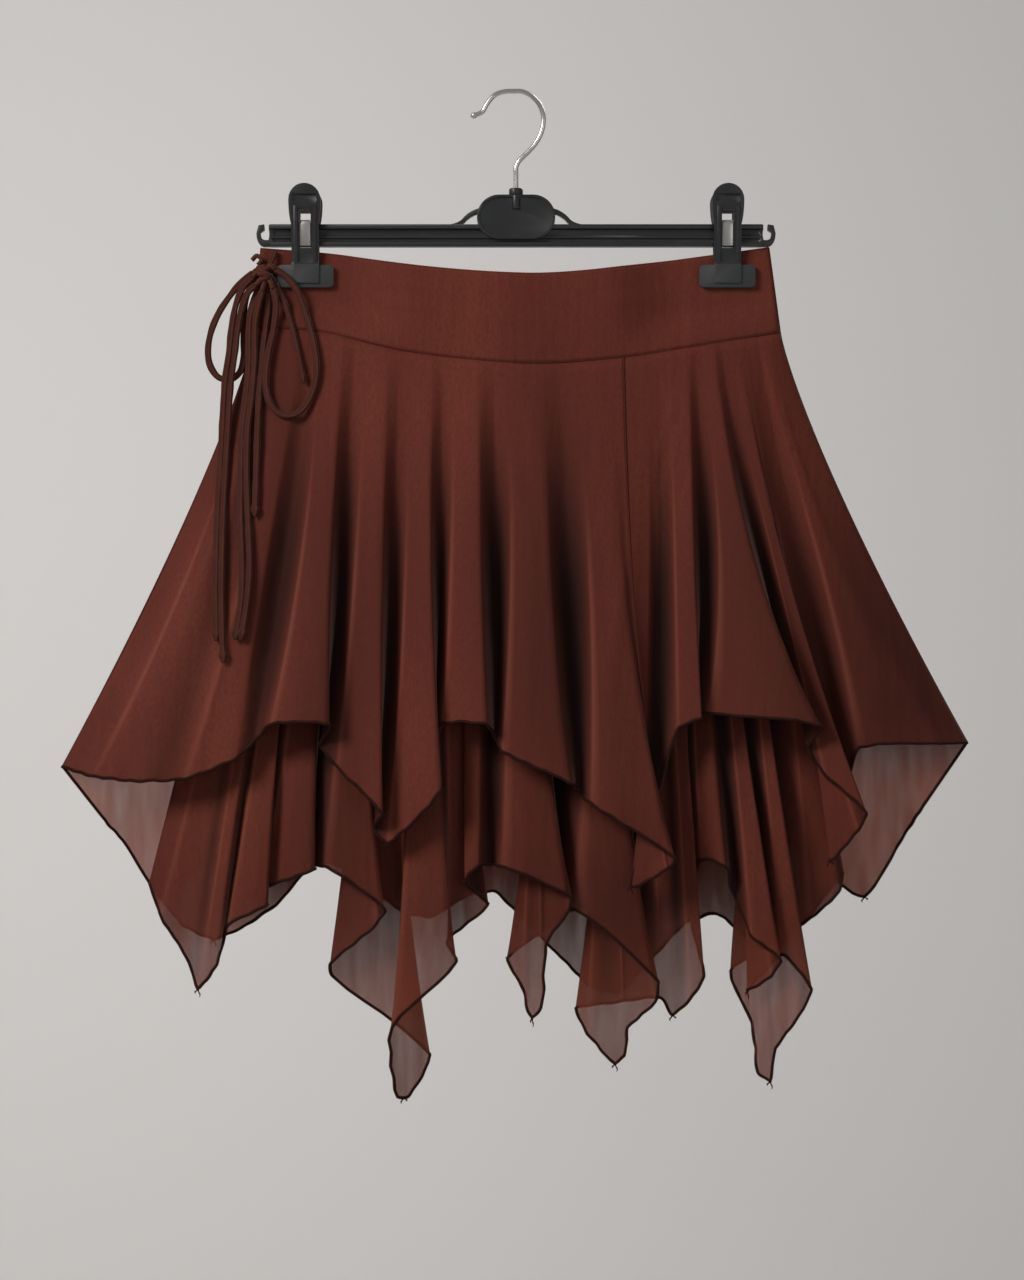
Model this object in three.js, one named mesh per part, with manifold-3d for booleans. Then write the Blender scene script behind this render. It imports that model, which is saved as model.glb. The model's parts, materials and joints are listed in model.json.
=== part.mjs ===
// A handkerchief-hem skirt of two sheer layers under a smooth yoke, tied at its left side,
// hanging flat from a clip hanger. Millimetres, +Z up, the skirt's front faces -Y.
// The origin is the inside of the top of the hanger's hook, where the hook rests on its support.

import * as THREE from "three";
import { mergeVertices } from "three/addons/utils/BufferGeometryUtils.js";
import Module from "manifold-3d";

const wasm = await Module();
wasm.setup();

// Cloth
const wall = 1;
const seamGap = 0.3;
const sideDepth = (seamGap + wall) / 2;
const yokeBow = 11;
const layerStep = 2;
const spreadPower = 1.22;
const depthPower = 0.85;
const narrowValley = 8;
const tuck = 7;
const panelSeamX = 76;

// Hanger
const wireRadius = 1.7;
const barHalfLength = 172;
const barTop = -92;
const barBottom = -107.3;
const railHalfDepth = 4.1;
const clipCentres = { left: -147, right: 148 };
const padHalfWidth = 19.6;
const padTop = -120.3;
const padBottom = -136;
const padThickness = 3;
const leverTop = -64.6;
const leverLean = 0.21;
const leverThickness = 2.6;
const padInner = sideDepth + wall / 2 + seamGap;

// Tie cord
const cordRadius = 1.8;
const cordStep = 11;

const clothColour = { color: 0x5a2b25, roughness: 0.85, metalness: 0 };
const cordColour = { color: 0x3a1a15, roughness: 0.8, metalness: 0 };
const plasticColour = { color: 0x2a2b2b, roughness: 0.45, metalness: 0 };
const padColour = { color: 0x3c4040, roughness: 0.6, metalness: 0 };
const steelColour = { color: 0xb9b9b6, roughness: 0.25, metalness: 1 };
const springColour = { color: 0xa8a6a0, roughness: 0.4, metalness: 1 };

const part = new THREE.Group();

function addMesh(name, geometry, finish) {
  const mesh = new THREE.Mesh(geometry, new THREE.MeshStandardMaterial(finish));
  mesh.name = name;
  part.add(mesh);
  return mesh;
}

// Joining and cutting

function solidOf(geometry) {
  const bare = new THREE.BufferGeometry();
  const source = geometry.index ? geometry.toNonIndexed() : geometry;
  bare.setAttribute("position", source.getAttribute("position"));
  const merged = mergeVertices(bare, 1e-4);
  return new wasm.Manifold(
    new wasm.Mesh({
      numProp: 3,
      vertProperties: new Float32Array(merged.getAttribute("position").array),
      triVerts: new Uint32Array(merged.index.array),
    }),
  );
}

function geometryOf(solid) {
  const mesh = solid.getMesh();
  const positions = new Float32Array(mesh.numVert * 3);
  for (let i = 0; i < mesh.numVert; i++) {
    const from = i * mesh.numProp;
    positions.set(mesh.vertProperties.subarray(from, from + 3), i * 3);
  }
  const geometry = new THREE.BufferGeometry();
  geometry.setAttribute("position", new THREE.BufferAttribute(positions, 3));
  geometry.setIndex(new THREE.BufferAttribute(new Uint32Array(mesh.triVerts), 1));
  return geometry;
}

function joined(geometries) {
  return geometries.map(solidOf).reduce((all, next) => all.add(next));
}

function mirroredFrontToBack(geometry) {
  const flipped = geometry.clone().scale(1, -1, 1);
  const index = flipped.index.array;
  for (let i = 0; i < index.length; i += 3) {
    [index[i + 1], index[i + 2]] = [index[i + 2], index[i + 1]];
  }
  return flipped;
}

// Plain shapes

function block(x0, x1, y0, y1, z0, z1) {
  const geometry = new THREE.BoxGeometry(x1 - x0, y1 - y0, z1 - z0);
  return geometry.translate((x0 + x1) / 2, (y0 + y1) / 2, (z0 + z1) / 2);
}

// A front-view outline given thickness from y0 back to y1.
function slab(shape, y0, y1, curveSegments = 8) {
  const options = { depth: y1 - y0, bevelEnabled: false, curveSegments };
  return new THREE.ExtrudeGeometry(shape, options).rotateX(Math.PI / 2).translate(0, y1, 0);
}

// A side-view outline, of y and z, carried along x from x0 to x1.
function rail(points, x0, x1) {
  const shape = new THREE.Shape(points.map(([y, z]) => new THREE.Vector2(y, z)));
  const geometry = new THREE.ExtrudeGeometry(shape, { depth: x1 - x0, bevelEnabled: false });
  const turn = new THREE.Matrix4().makeBasis(
    new THREE.Vector3(0, 1, 0),
    new THREE.Vector3(0, 0, 1),
    new THREE.Vector3(1, 0, 0),
  );
  return geometry.applyMatrix4(turn).translate(x0, 0, 0);
}

function roundedRectangle(x0, x1, z0, z1, radius) {
  const shape = new THREE.Shape();
  shape.moveTo(x0 + radius, z0);
  shape.lineTo(x1 - radius, z0);
  shape.absarc(x1 - radius, z0 + radius, radius, -Math.PI / 2, 0);
  shape.lineTo(x1, z1 - radius);
  shape.absarc(x1 - radius, z1 - radius, radius, 0, Math.PI / 2);
  shape.lineTo(x0 + radius, z1);
  shape.absarc(x0 + radius, z1 - radius, radius, Math.PI / 2, Math.PI);
  shape.lineTo(x0, z0 + radius);
  shape.absarc(x0 + radius, z0 + radius, radius, Math.PI, Math.PI * 1.5);
  return shape;
}

function smoothRoute(points) {
  const corners = points.map(([x, y, z]) => new THREE.Vector3(x, y, z));
  return new THREE.CatmullRomCurve3(corners, false, "centripetal");
}

// A round rod along a route.
function rod(route, radius, sides, steps) {
  const section = new THREE.Shape();
  for (let i = 0; i < sides; i++) {
    const angle = (i / sides) * Math.PI * 2;
    const x = Math.cos(angle) * radius;
    const y = Math.sin(angle) * radius;
    if (i === 0) section.moveTo(x, y);
    else section.lineTo(x, y);
  }
  return new THREE.ExtrudeGeometry(section, { steps, extrudePath: route });
}

// Cloth walls

function smoothstep(from, to, value) {
  const t = Math.min(1, Math.max(0, (value - from) / (to - from)));
  return t * t * (3 - 2 * t);
}

// The height of a line at x, where the line runs smoothly through its [x, height] points.
function heightAt(line, x) {
  const last = line.length - 2;
  let i = line.findIndex((point, n) => n > 0 && x <= point[0]) - 1;
  if (i < 0) i = x <= line[0][0] ? 0 : last;
  const slope = (n) => {
    const before = line[Math.max(0, n - 1)];
    const after = line[Math.min(line.length - 1, n + 1)];
    return (after[1] - before[1]) / (after[0] - before[0]);
  };
  const [x0, z0] = line[i];
  const [x1, z1] = line[i + 1];
  const width = x1 - x0;
  const t = Math.min(1, Math.max(0, (x - x0) / width));
  const rise = (2 * t ** 3 - 3 * t ** 2 + 1) * z0 + (3 * t ** 2 - 2 * t ** 3) * z1;
  const bend = (t ** 3 - 2 * t ** 2 + t) * slope(i) + (t ** 3 - t ** 2) * slope(i + 1);
  return rise + bend * width;
}

// Gives each point of grid[row][column] the direction that the cloth faces there, midway between the
// facings of the stretches on its left and right. Rows run down the cloth. At the two side seams it
// faces straight forward, so that front and back meet squarely.
function withFacing(grid) {
  const lastRow = grid.length - 1;
  const lastColumn = grid[0].length - 1;
  return grid.map((line, r) =>
    line.map((point, c) => {
      const down = grid[Math.min(lastRow, r + 1)][c].clone().sub(grid[Math.max(0, r - 1)][c]);
      if (c === 0 || c === lastColumn) return { point, facing: new THREE.Vector3(0, 1, 0) };
      const before = point.clone().sub(line[c - 1]).cross(down).normalize();
      const after = line[c + 1].clone().sub(point).cross(down).normalize();
      return { point, facing: before.add(after).normalize() };
    }),
  );
}

// A closed wall about a middle surface, cloth[row][column] of { point, facing }.
function clothWall(cloth) {
  const rows = cloth.length;
  const columns = cloth[0].length;
  const positions = [];
  const index = [];
  for (const offset of [wall / 2, -wall / 2]) {
    for (const { point, facing } of cloth.flat()) {
      positions.push(...point.clone().addScaledVector(facing, offset));
    }
  }
  const inner = rows * columns;
  const at = (r, c) => r * columns + c;
  const quad = (a, b, c, d) => index.push(a, b, c, a, c, d);
  for (let r = 0; r < rows - 1; r++) {
    for (let c = 0; c < columns - 1; c++) {
      const [a, b, d, e] = [at(r, c), at(r, c + 1), at(r + 1, c + 1), at(r + 1, c)];
      quad(a, b, d, e);
      quad(inner + a, inner + e, inner + d, inner + b);
    }
    const last = columns - 1;
    quad(at(r, 0), at(r + 1, 0), inner + at(r + 1, 0), inner + at(r, 0));
    quad(at(r + 1, last), at(r, last), inner + at(r, last), inner + at(r + 1, last));
  }
  for (let c = 0; c < columns - 1; c++) {
    const last = rows - 1;
    quad(at(0, c + 1), at(0, c), inner + at(0, c), inner + at(0, c + 1));
    quad(at(last, c), at(last, c + 1), inner + at(last, c + 1), inner + at(last, c));
  }
  const geometry = new THREE.BufferGeometry();
  geometry.setAttribute("position", new THREE.Float32BufferAttribute(positions, 3));
  geometry.setIndex(index);
  return geometry;
}

// Yoke

// Lines across the skirt as [x, height].
const waistLine = [[-178, -108.5], [-125, -113], [-65, -122], [6, -127], [49, -125], [100, -118.5], [177, -108]];
const yokeSeam = [[-181, -163], [-136, -167], [-74, -181], [8, -189], [75, -185], [132, -176], [185, -167]];
const seamLeft = yokeSeam[0][0];
const seamRight = yokeSeam[yokeSeam.length - 1][0];
const waistLeft = waistLine[0][0];
const waistRight = waistLine[waistLine.length - 1][0];

// How far the yoke stands from the middle plane: bowed out in the middle and pressed flat in the clips.
function yokeDepth(across, down) {
  const middle = (seamLeft + seamRight) / 2;
  const half = (seamRight - seamLeft) / 2;
  const x = seamLeft + across * (seamRight - seamLeft);
  const round = Math.sqrt(Math.max(0, 1 - ((x - middle) / half) ** 2));
  const clipDistance = Math.min(Math.abs(x - clipCentres.left), Math.abs(x - clipCentres.right));
  const pressed = 1 - smoothstep(padHalfWidth + 9, padHalfWidth + 60, clipDistance);
  const free = 1 - pressed * (1 - smoothstep(0.55, 1, down));
  return sideDepth + yokeBow * round * free;
}

function yokeGrid(side) {
  const columns = 24;
  const rows = 5;
  const grid = [];
  for (let r = 0; r <= rows; r++) {
    const down = r / rows;
    const line = [];
    for (let c = 0; c <= columns; c++) {
      const across = c / columns;
      const xTop = waistLeft + across * (waistRight - waistLeft);
      const xSeam = seamLeft + across * (seamRight - seamLeft);
      const top = heightAt(waistLine, xTop);
      const bottom = heightAt(yokeSeam, xSeam);
      const x = xTop + (xSeam - xTop) * down;
      const z = top + (bottom - top) * down;
      line.push(new THREE.Vector3(x, side * yokeDepth(across, down), z));
    }
    grid.push(line);
  }
  return grid;
}

addMesh("yoke_front", clothWall(withFacing(yokeGrid(-1))), clothColour);
addMesh("yoke_back", clothWall(withFacing(yokeGrid(1))), clothColour);

// Flared layers

// Each row is one stretch of hem on a fold, in the order in which the hem runs from the left side
// seam to the right. seam: where the fold leaves the yoke. from, fromHem, fromOut: the x, the height
// and the stand from the middle plane where the stretch starts; to, toHem, toOut: where it ends. A
// stretch that runs back to the left is turned under. dip: the stand of the valley that follows, or
// null where the hem turns straight into the next stretch.
const foldColumns = ["seam", "from", "fromHem", "fromOut", "to", "toHem", "toOut", "dip"];
const upperFrontFolds = [
  [-172, -294, -477, 15, -263, -480, 24, null],
  [-156, -228, -478, 30, -193, -464, 32, 26],
  [-128, -168, -440, 38, -128, -440, 45, 27],
  [-97, -123, -470, 31, -91, -502, 45, 28],
  [-66, -89, -523, 32, -51, -485, 45, 27],
  [-36, -50, -440, 31, -20, -440, 46, 27],
  [6, -9, -459, 36, 37, -480, 43, 28],
  [56, 52, -495, 37, 109, -532, 46, null],
  [84, 104, -540, 41, 79, -553, 33, 28],
  [116, 112, -443, 33, 128, -436, 41, 27],
  [134, 133, -433, 31, 209, -441, 47, 28],
  [152, 213, -475, 31, 241, -501, 41, null],
  [163, 236, -513, 35, 217, -536, 25, 16],
  [175, 238, -457, 22, 296, -454, 18, null],
];
const lowerFrontFolds = [
  [-168, -248, -574, 8, -228, -604, 14, null],
  [-161, -220, -624, 20, -208, -609, 24, 14],
  [-150, -200, -580, 20, -171, -565, 25, 12],
  [-133, -176, -555, 15, -139, -541, 26, 12],
  [-114, -132, -539, 22, -91, -568, 26, null],
  [-104, -96, -579, 21, -129, -608, 12, null],
  [-91, -127, -618, 3, -60, -672, 2, null],
  [-80, -74, -700, 8, -82, -701, 13, null],
  [-66, -86, -651, 22, -41, -605, 28, null],
  [-50, -47, -591, 17, -19, -567, 8, null],
  [-34, -35, -550, 20, -26, -538, 27, 12],
  [-6, -9, -539, 22, 39, -560, 27, null],
  [10, 38, -568, 22, 21, -594, 15, null],
  [20, 18, -638, 13, 11, -646, 11, null],
  [30, 5, -625, 5, -6, -605, 2, 0],
  [48, 41, -569, 20, 99, -619, 26, null],
  [60, 97, -633, 22, 78, -652, 15, null],
  [69, 76, -671, 14, 69, -677, 12, null],
  [78, 50, -657, 5, 42, -640, 2, 0],
  [92, 101, -631, 12, 109, -643, 14, null],
  [102, 121, -632, 17, 131, -615, 20, 9],
  [117, 129, -535, 12, 144, -538, 25, 12],
  [132, 163, -587, 22, 183, -603, 28, null],
  [140, 177, -615, 24, 161, -626, 16, 12],
  [149, 185, -600, 19, 205, -624, 24, null],
  [156, 196, -644, 20, 181, -667, 12, null],
  [162, 177, -690, 10, 169, -684, 7, null],
  [167, 165, -650, 3, 150, -614, 0, -2],
  [173, 206, -577, 3, 226, -558, 5, null],
];
const sidePoints = {
  upper: { left: [-317, -471], right: [316, -454] },
  lower: { left: [-256, -553], right: [229, -545] },
};
// The hidden backs: the height of the hem against its x, with even flutes.
const upperBackHem = [
  [-317, -471], [-271, -531], [-245, -567], [-209, -520], [-118, -475], [-40, -458],
  [5, -472], [68, -452], [150, -487], [211, -540], [250, -563], [280, -508], [316, -454],
];
const lowerBackHem = [
  [-256, -553], [-219, -592], [-165, -566], [-137, -536], [-67, -578], [-19, -558], [30, -604],
  [68, -632], [110, -590], [140, -574], [180, -600], [229, -545],
];

// Fold lines as { seam, hem, height, out }, from the rows of a fold table. A valley too narrow to
// stand open is tucked behind the edge of the flute before it.
function foldLines(rows, sides, inset) {
  const folds = rows.map((row) => Object.fromEntries(foldColumns.map((name, i) => [name, row[i]])));
  const sideLine = ([hem, height], seam) => ({ seam, hem, height, out: sideDepth });
  const lines = [sideLine(sides.left, seamLeft + inset)];
  folds.forEach(({ seam, from, fromHem, fromOut, to, toHem, toOut, dip }, i) => {
    const next = folds[i + 1];
    const before = i > 0 ? folds[i - 1].seam : seamLeft + inset;
    const after = next ? next.seam : seamRight - inset;
    lines.push({ seam: seam - (seam - before) / 4, hem: from, height: fromHem, out: fromOut });
    lines.push({ seam: seam + (after - seam) / 4, hem: to, height: toHem, out: toOut });
    if (dip !== null) {
      const tucked = from < to && next.from - to < narrowValley;
      lines.push({
        seam: (seam + next.seam) / 2,
        hem: tucked ? Math.min(to, next.from) - tuck : (to + next.from) / 2,
        height: (toHem + next.fromHem) / 2,
        out: dip,
      });
    }
  });
  lines.push(sideLine(sides.right, seamRight - inset));
  return lines;
}

// Fold lines of a layer with even flutes, each a ridge with two edges and a valley.
function evenFoldLines(hemLine, flutes, ridge, valley, inset) {
  const left = hemLine[0][0];
  const right = hemLine[hemLine.length - 1][0];
  const lines = [];
  const steps = flutes * 3;
  for (let i = 0; i <= steps; i++) {
    const share = i / steps;
    const sway = 0.012 * Math.sin(i * 2.1);
    const hem = left + (share + (i % 3 === 0 ? 0 : sway)) * (right - left);
    const nearSide = smoothstep(0, 0.16, Math.min(share, 1 - share));
    const out = (i % 3 === 0 ? valley : ridge + 2 * Math.sin(i)) * nearSide;
    lines.push({
      seam: seamLeft + inset + share * (seamRight - seamLeft - 2 * inset),
      hem,
      height: heightAt(hemLine, hem),
      out: Math.max(sideDepth, out),
    });
  }
  return lines;
}

// The middle surface of a flared layer. side is -1 in front and 1 behind; inward moves the seam
// edge of the lower layer behind the upper one.
function layerGrid(lines, { side, inward, rows, columnsPerFold }) {
  const hemCurve = new THREE.CatmullRomCurve3(
    lines.map((line) => new THREE.Vector3(line.hem, side * line.out, line.height)),
    false,
    "centripetal",
  );
  const count = (lines.length - 1) * columnsPerFold;
  const columns = [];
  for (let c = 0; c <= count; c++) {
    const place = (c / count) * (lines.length - 1);
    const i = Math.min(lines.length - 2, Math.floor(place));
    const seamX = lines[i].seam + (lines[i + 1].seam - lines[i].seam) * (place - i);
    const across = (seamX - seamLeft) / (seamRight - seamLeft);
    const depth = Math.max(sideDepth, yokeDepth(across, 1) - inward);
    const seamZ = heightAt(yokeSeam, seamX) - seamGap;
    const start = new THREE.Vector3(seamX, side * depth, seamZ);
    columns.push({ start, end: hemCurve.getPoint(c / count) });
  }
  const grid = [];
  for (let r = 0; r <= rows; r++) {
    const down = r / rows;
    grid.push(
      columns.map(({ start, end }) => {
        const point = start.clone().lerp(end, down);
        point.x = start.x + (end.x - start.x) * down ** spreadPower;
        point.y = start.y + (end.y - start.y) * down ** depthPower;
        return point;
      }),
    );
  }
  return grid;
}

// Parts a layer at the column nearest to a seam position, leaving the seam's gap between the halves.
function splitAtSeam(cloth, seamX) {
  const distances = cloth[0].map(({ point }) => Math.abs(point.x - seamX));
  const cut = distances.indexOf(Math.min(...distances));
  const edge = (row, towards) => {
    const { point, facing } = row[cut];
    const step = row[cut + towards].point.clone().sub(point).projectOnPlane(facing);
    return { point: point.clone().add(step.setLength(seamGap / 2)), facing };
  };
  return [
    cloth.map((row) => [...row.slice(0, cut), edge(row, -1)]),
    cloth.map((row) => [edge(row, 1), ...row.slice(cut + 1)]),
  ];
}

const lowerInset = 7;
const upperFrontGrid = layerGrid(foldLines(upperFrontFolds, sidePoints.upper, 0), {
  side: -1,
  inward: 0,
  rows: 6,
  columnsPerFold: 2,
});
const upperBackGrid = layerGrid(evenFoldLines(upperBackHem, 9, 31, 21, 0), {
  side: 1,
  inward: 0,
  rows: 5,
  columnsPerFold: 1,
});
const lowerFrontGrid = layerGrid(foldLines(lowerFrontFolds, sidePoints.lower, lowerInset), {
  side: -1,
  inward: layerStep,
  rows: 7,
  columnsPerFold: 1,
});
const lowerBackGrid = layerGrid(evenFoldLines(lowerBackHem, 11, 15, 8, lowerInset), {
  side: 1,
  inward: layerStep,
  rows: 5,
  columnsPerFold: 1,
});
const [frontLeft, frontRight] = splitAtSeam(withFacing(upperFrontGrid), panelSeamX);
addMesh("upper_front_left", clothWall(frontLeft), clothColour);
addMesh("upper_front_right", clothWall(frontRight), clothColour);
addMesh("upper_back", clothWall(withFacing(upperBackGrid)), clothColour);
addMesh("lower_front", clothWall(withFacing(lowerFrontGrid)), clothColour);
addMesh("lower_back", clothWall(withFacing(lowerBackGrid)), clothColour);

// Tie: a bow of soft round cord at the left end of the waist. Each free stretch is its own piece and
// the knot holds the stubs that they come out of.

const knotCentre = [-175.4, -7.2, -127];
const knotHalfSize = [5.6, 4.8, 6.6];
const stubLength = 7.5;
const tieRoutes = {
  tie_top: [[-168, -3.5, -110.5], [-169, -4.5, -114], [-171, -6, -118.5]],
  tie_loop_left: [
    [-183.4, -5.2, -126.2], [-188.7, -5.1, -130.2], [-193.6, -5, -134.8], [-202, -4.8, -145.6],
    [-207.8, -4.8, -155], [-212.5, -4.8, -166.5], [-214.8, -4.8, -180], [-213.2, -4.8, -191],
    [-207, -4.8, -199.2], [-198, -4.8, -200], [-192, -4.8, -194.4], [-189.9, -4.8, -185.5],
    [-190, -4.8, -173.5], [-189.8, -4.8, -160], [-188.8, -4.8, -146], [-185.9, -4.9, -137.2],
    [-183, -5, -133.2],
  ],
  tie_loop_right: [
    [-167.6, -9, -123.8], [-160.4, -8.4, -128.6], [-153, -8.2, -138], [-146.7, -8.8, -154.2],
    [-141.3, -12, -172.4], [-138.7, -15, -188.5], [-139, -16.6, -201.8], [-143.9, -16.8, -215.8],
    [-150.9, -16.4, -224.2], [-158.6, -15.6, -226.3], [-165.6, -15.4, -224], [-170.8, -15, -217.6],
    [-173.4, -14, -208.8], [-174, -12.8, -199], [-172.4, -11.2, -183.6], [-169, -9.4, -166.8],
    [-167, -9.2, -152.1], [-167.4, -9.6, -144], [-169.2, -9.8, -137.6],
  ],
  tie_end_short: [
    [-168.4, -5.8, -133.4], [-166.4, -6.5, -138], [-162.6, -6.6, -144], [-158.3, -7.8, -156.3],
    [-153.7, -10.4, -173.1], [-150.2, -13, -188.5], [-147.2, -14.8, -204],
  ],
  tie_tail_1: [
    [-183.4, -9, -129.4], [-189.6, -9.6, -136], [-194.6, -10, -148], [-198, -10, -166],
    [-200, -9.8, -184.5], [-202.4, -9.6, -200.5], [-205, -9.2, -243], [-206, -11.2, -263.5],
    [-207.2, -14.4, -289.5], [-208, -21.2, -340], [-207.2, -26.4, -383],
  ],
  tie_tail_2: [
    [-181.4, -10.4, -135.2], [-186.2, -10.4, -140], [-190.4, -10, -150], [-193.8, -9.8, -166],
    [-195.9, -9.6, -184.5], [-198.3, -9.4, -200.5], [-201, -9.6, -243], [-202, -12, -263.5],
    [-203.1, -15.6, -289.5], [-203.8, -22.2, -340], [-203.1, -26.5, -375.5], [-202, -28.8, -398],
  ],
  tie_tail_3: [
    [-180, -6.6, -138.4], [-183, -8, -147], [-185.2, -9.6, -157], [-186, -9.8, -170],
    [-186, -9.9, -188.5], [-188, -10.2, -214.4], [-190.4, -13, -235], [-191, -16.2, -265.5],
    [-190.8, -19.6, -299.1], [-189.4, -24.6, -332], [-189.8, -26.8, -354.4], [-193.9, -28.6, -382.4],
  ],
  tie_tail_4: [
    [-176.8, -10, -139.4], [-179.2, -10, -148], [-181.2, -9.9, -158], [-182, -9.8, -170],
    [-182, -10.4, -188.5], [-184, -12, -214.4], [-186.4, -14.2, -235], [-186.9, -17, -265.5],
    [-185.6, -20.6, -299.1], [-184.2, -25, -332], [-185.6, -27.4, -354.4], [-189.8, -29, -382.4],
  ],
  tie_tail_5: [
    [-172.8, -5.8, -139.4], [-172.8, -6, -149], [-174.6, -7, -166], [-176.4, -8.8, -183],
    [-177.8, -10, -199], [-178.8, -12.6, -217], [-179.6, -15.6, -243], [-180.2, -18.6, -272],
    [-180.6, -20.4, -288], [-180.9, -21.2, -297],
  ],
};
const tieLoops = ["tie_loop_left", "tie_loop_right"];

// The stub that a cord comes out of, in line with the cord's end at place 0 or 1 of its route.
function cordStub(route, place) {
  const outward = route.getTangent(place).multiplyScalar(place === 0 ? 1 : -1);
  const end = route.getPoint(place).addScaledVector(outward, -seamGap);
  const start = end.clone().addScaledVector(outward, -stubLength);
  return rod(new THREE.LineCurve3(start, end), cordRadius, 8, 1);
}

function tie() {
  const lump = new THREE.SphereGeometry(1, 12, 8).scale(...knotHalfSize).translate(...knotCentre);
  const knotPieces = [lump];
  for (const [name, points] of Object.entries(tieRoutes)) {
    const route = smoothRoute(points);
    const steps = Math.round(route.getLength() / cordStep);
    addMesh(name, rod(route, cordRadius, 8, steps), cordColour);
    knotPieces.push(cordStub(route, name === "tie_top" ? 1 : 0));
    if (tieLoops.includes(name)) knotPieces.push(cordStub(route, 1));
  }
  addMesh("tie_knot", geometryOf(joined(knotPieces)), cordColour);
}

tie();

// Hanger bar with its badge and shoulders

const badge = { left: -27, right: 27.7, bottom: -102.4, top: -71.4, halfDepth: 5, rim: 1.8, rimRise: 1 };
const barMiddle = 0.3;

function barProfile() {
  const half = [
    [5, barTop], [5, -95], [2, -95.6], [2, -99.4], [3, -99.8], [3, -101.6], [2, -102],
    [2, -103.8], [railHalfDepth, -104.4], [railHalfDepth, barBottom],
  ];
  const other = half.map(([y, z]) => [-y, z]).reverse();
  return [...half.reverse(), ...other.reverse()];
}

// A hooked notch on the bar's end, which takes a hanging loop.
function barEnd(sign) {
  const shape = new THREE.Shape();
  shape.moveTo(-2, barBottom);
  shape.lineTo(5, barBottom);
  shape.quadraticCurveTo(10, -106, 10, -98);
  shape.lineTo(8.6, -92.5);
  shape.lineTo(4.6, -91.8);
  shape.lineTo(4.4, -95.6);
  shape.lineTo(7.2, -97.6);
  shape.quadraticCurveTo(7, -102.6, 4, -102.8);
  shape.lineTo(1.6, -102.8);
  shape.quadraticCurveTo(0.4, -99, 1.4, -95.4);
  shape.lineTo(1.4, barTop);
  shape.lineTo(-2, barTop);
  const geometry = slab(shape, -3, 3, 5);
  const solid = solidOf(geometry);
  const placed = sign > 0 ? solid : solid.mirror([1, 0, 0]);
  return placed.translate([barMiddle + sign * (barHalfLength - 0.5), 0, 0]);
}

// A thin rib sweeping from the bar up to the side of the badge.
function shoulder(sign) {
  const shape = new THREE.Shape();
  shape.moveTo(-24, -80);
  shape.quadraticCurveTo(-33, -82, -38, -88.5);
  shape.quadraticCurveTo(-42, -92, -52, -92.4);
  shape.lineTo(-52, -94);
  shape.quadraticCurveTo(-41, -94, -36, -90.4);
  shape.quadraticCurveTo(-32, -85.4, -24, -83.4);
  const solid = solidOf(slab(shape, -3, 3, 6));
  const placed = sign < 0 ? solid : solid.mirror([1, 0, 0]);
  return placed.translate([barMiddle, 0, 0]);
}

function hangerBar() {
  const { left, right, bottom, top, halfDepth, rim, rimRise } = badge;
  const radius = (top - bottom) / 2;
  const outer = slab(
    roundedRectangle(left, right, bottom, top, radius),
    -halfDepth - rimRise,
    halfDepth + rimRise,
    8,
  );
  const face = roundedRectangle(left + rim, right - rim, bottom + rim, top - rim, radius - rim);
  const frontRecess = slab(face, -halfDepth - 3 * rimRise, -halfDepth, 8);
  const backRecess = slab(face, halfDepth, halfDepth + 3 * rimRise, 8);
  const boss = new THREE.CylinderGeometry(3.1, 3.1, 9, 12).rotateX(Math.PI / 2);
  boss.translate(barMiddle, -halfDepth + 1, top - 5.2);
  const plate = solidOf(outer).subtract(solidOf(frontRecess)).subtract(solidOf(backRecess));
  const long = rail(barProfile(), barMiddle - barHalfLength, barMiddle + barHalfLength);
  return solidOf(long)
    .add(plate)
    .add(solidOf(boss))
    .add(barEnd(1))
    .add(barEnd(-1))
    .add(shoulder(1))
    .add(shoulder(-1));
}

addMesh("hanger_bar", geometryOf(hangerBar()), plasticColour);

// Hook: a bent wire with a small ball on its tip, standing in a collar on the badge

const hookRoute = [
  [-29.1, 0, -15.3], [-23.4, 0, -12.8], [-20, 0, -7.2], [-14.4, 0, -0.9], [-7.4, 0, 1.5],
  [-1.7, 0, 1.7], [4.5, 0, 1.5], [10.9, 0, -1.6], [17.2, 0, -8.6], [19.6, 0, -17.7],
  [17.9, 0, -27.5], [13.7, 0, -35.2], [8.1, 0, -41.5], [2.5, 0, -47.1], [0.4, 0, -51.3],
  [0.3, 0, -58], [0.3, 0, -71],
];
const tipBall = new THREE.SphereGeometry(2.3, 8, 6);
tipBall.translate(...hookRoute[0]);
addMesh(
  "hook_wire",
  geometryOf(joined([rod(smoothRoute(hookRoute), wireRadius, 8, 38), tipBall])),
  steelColour,
);

const collarProfile = [
  [wireRadius + seamGap, -71.1], [4.9, -71.1], [4.9, -67], [4.3, -66.4], [wireRadius + seamGap, -66.4],
  [wireRadius + seamGap, -71.1],
].map(([radius, z]) => new THREE.Vector2(radius, z));
const collar = new THREE.LatheGeometry(collarProfile, 16).rotateX(Math.PI / 2);
addMesh("hook_collar", collar.translate(barMiddle, 0, 0), plasticColour);

// Clips

function leaned(geometry) {
  const position = geometry.getAttribute("position");
  for (let i = 0; i < position.count; i++) {
    const rise = Math.max(0, position.getZ(i) - padTop);
    position.setY(i, position.getY(i) - leverLean * rise);
  }
  return geometry;
}

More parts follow.
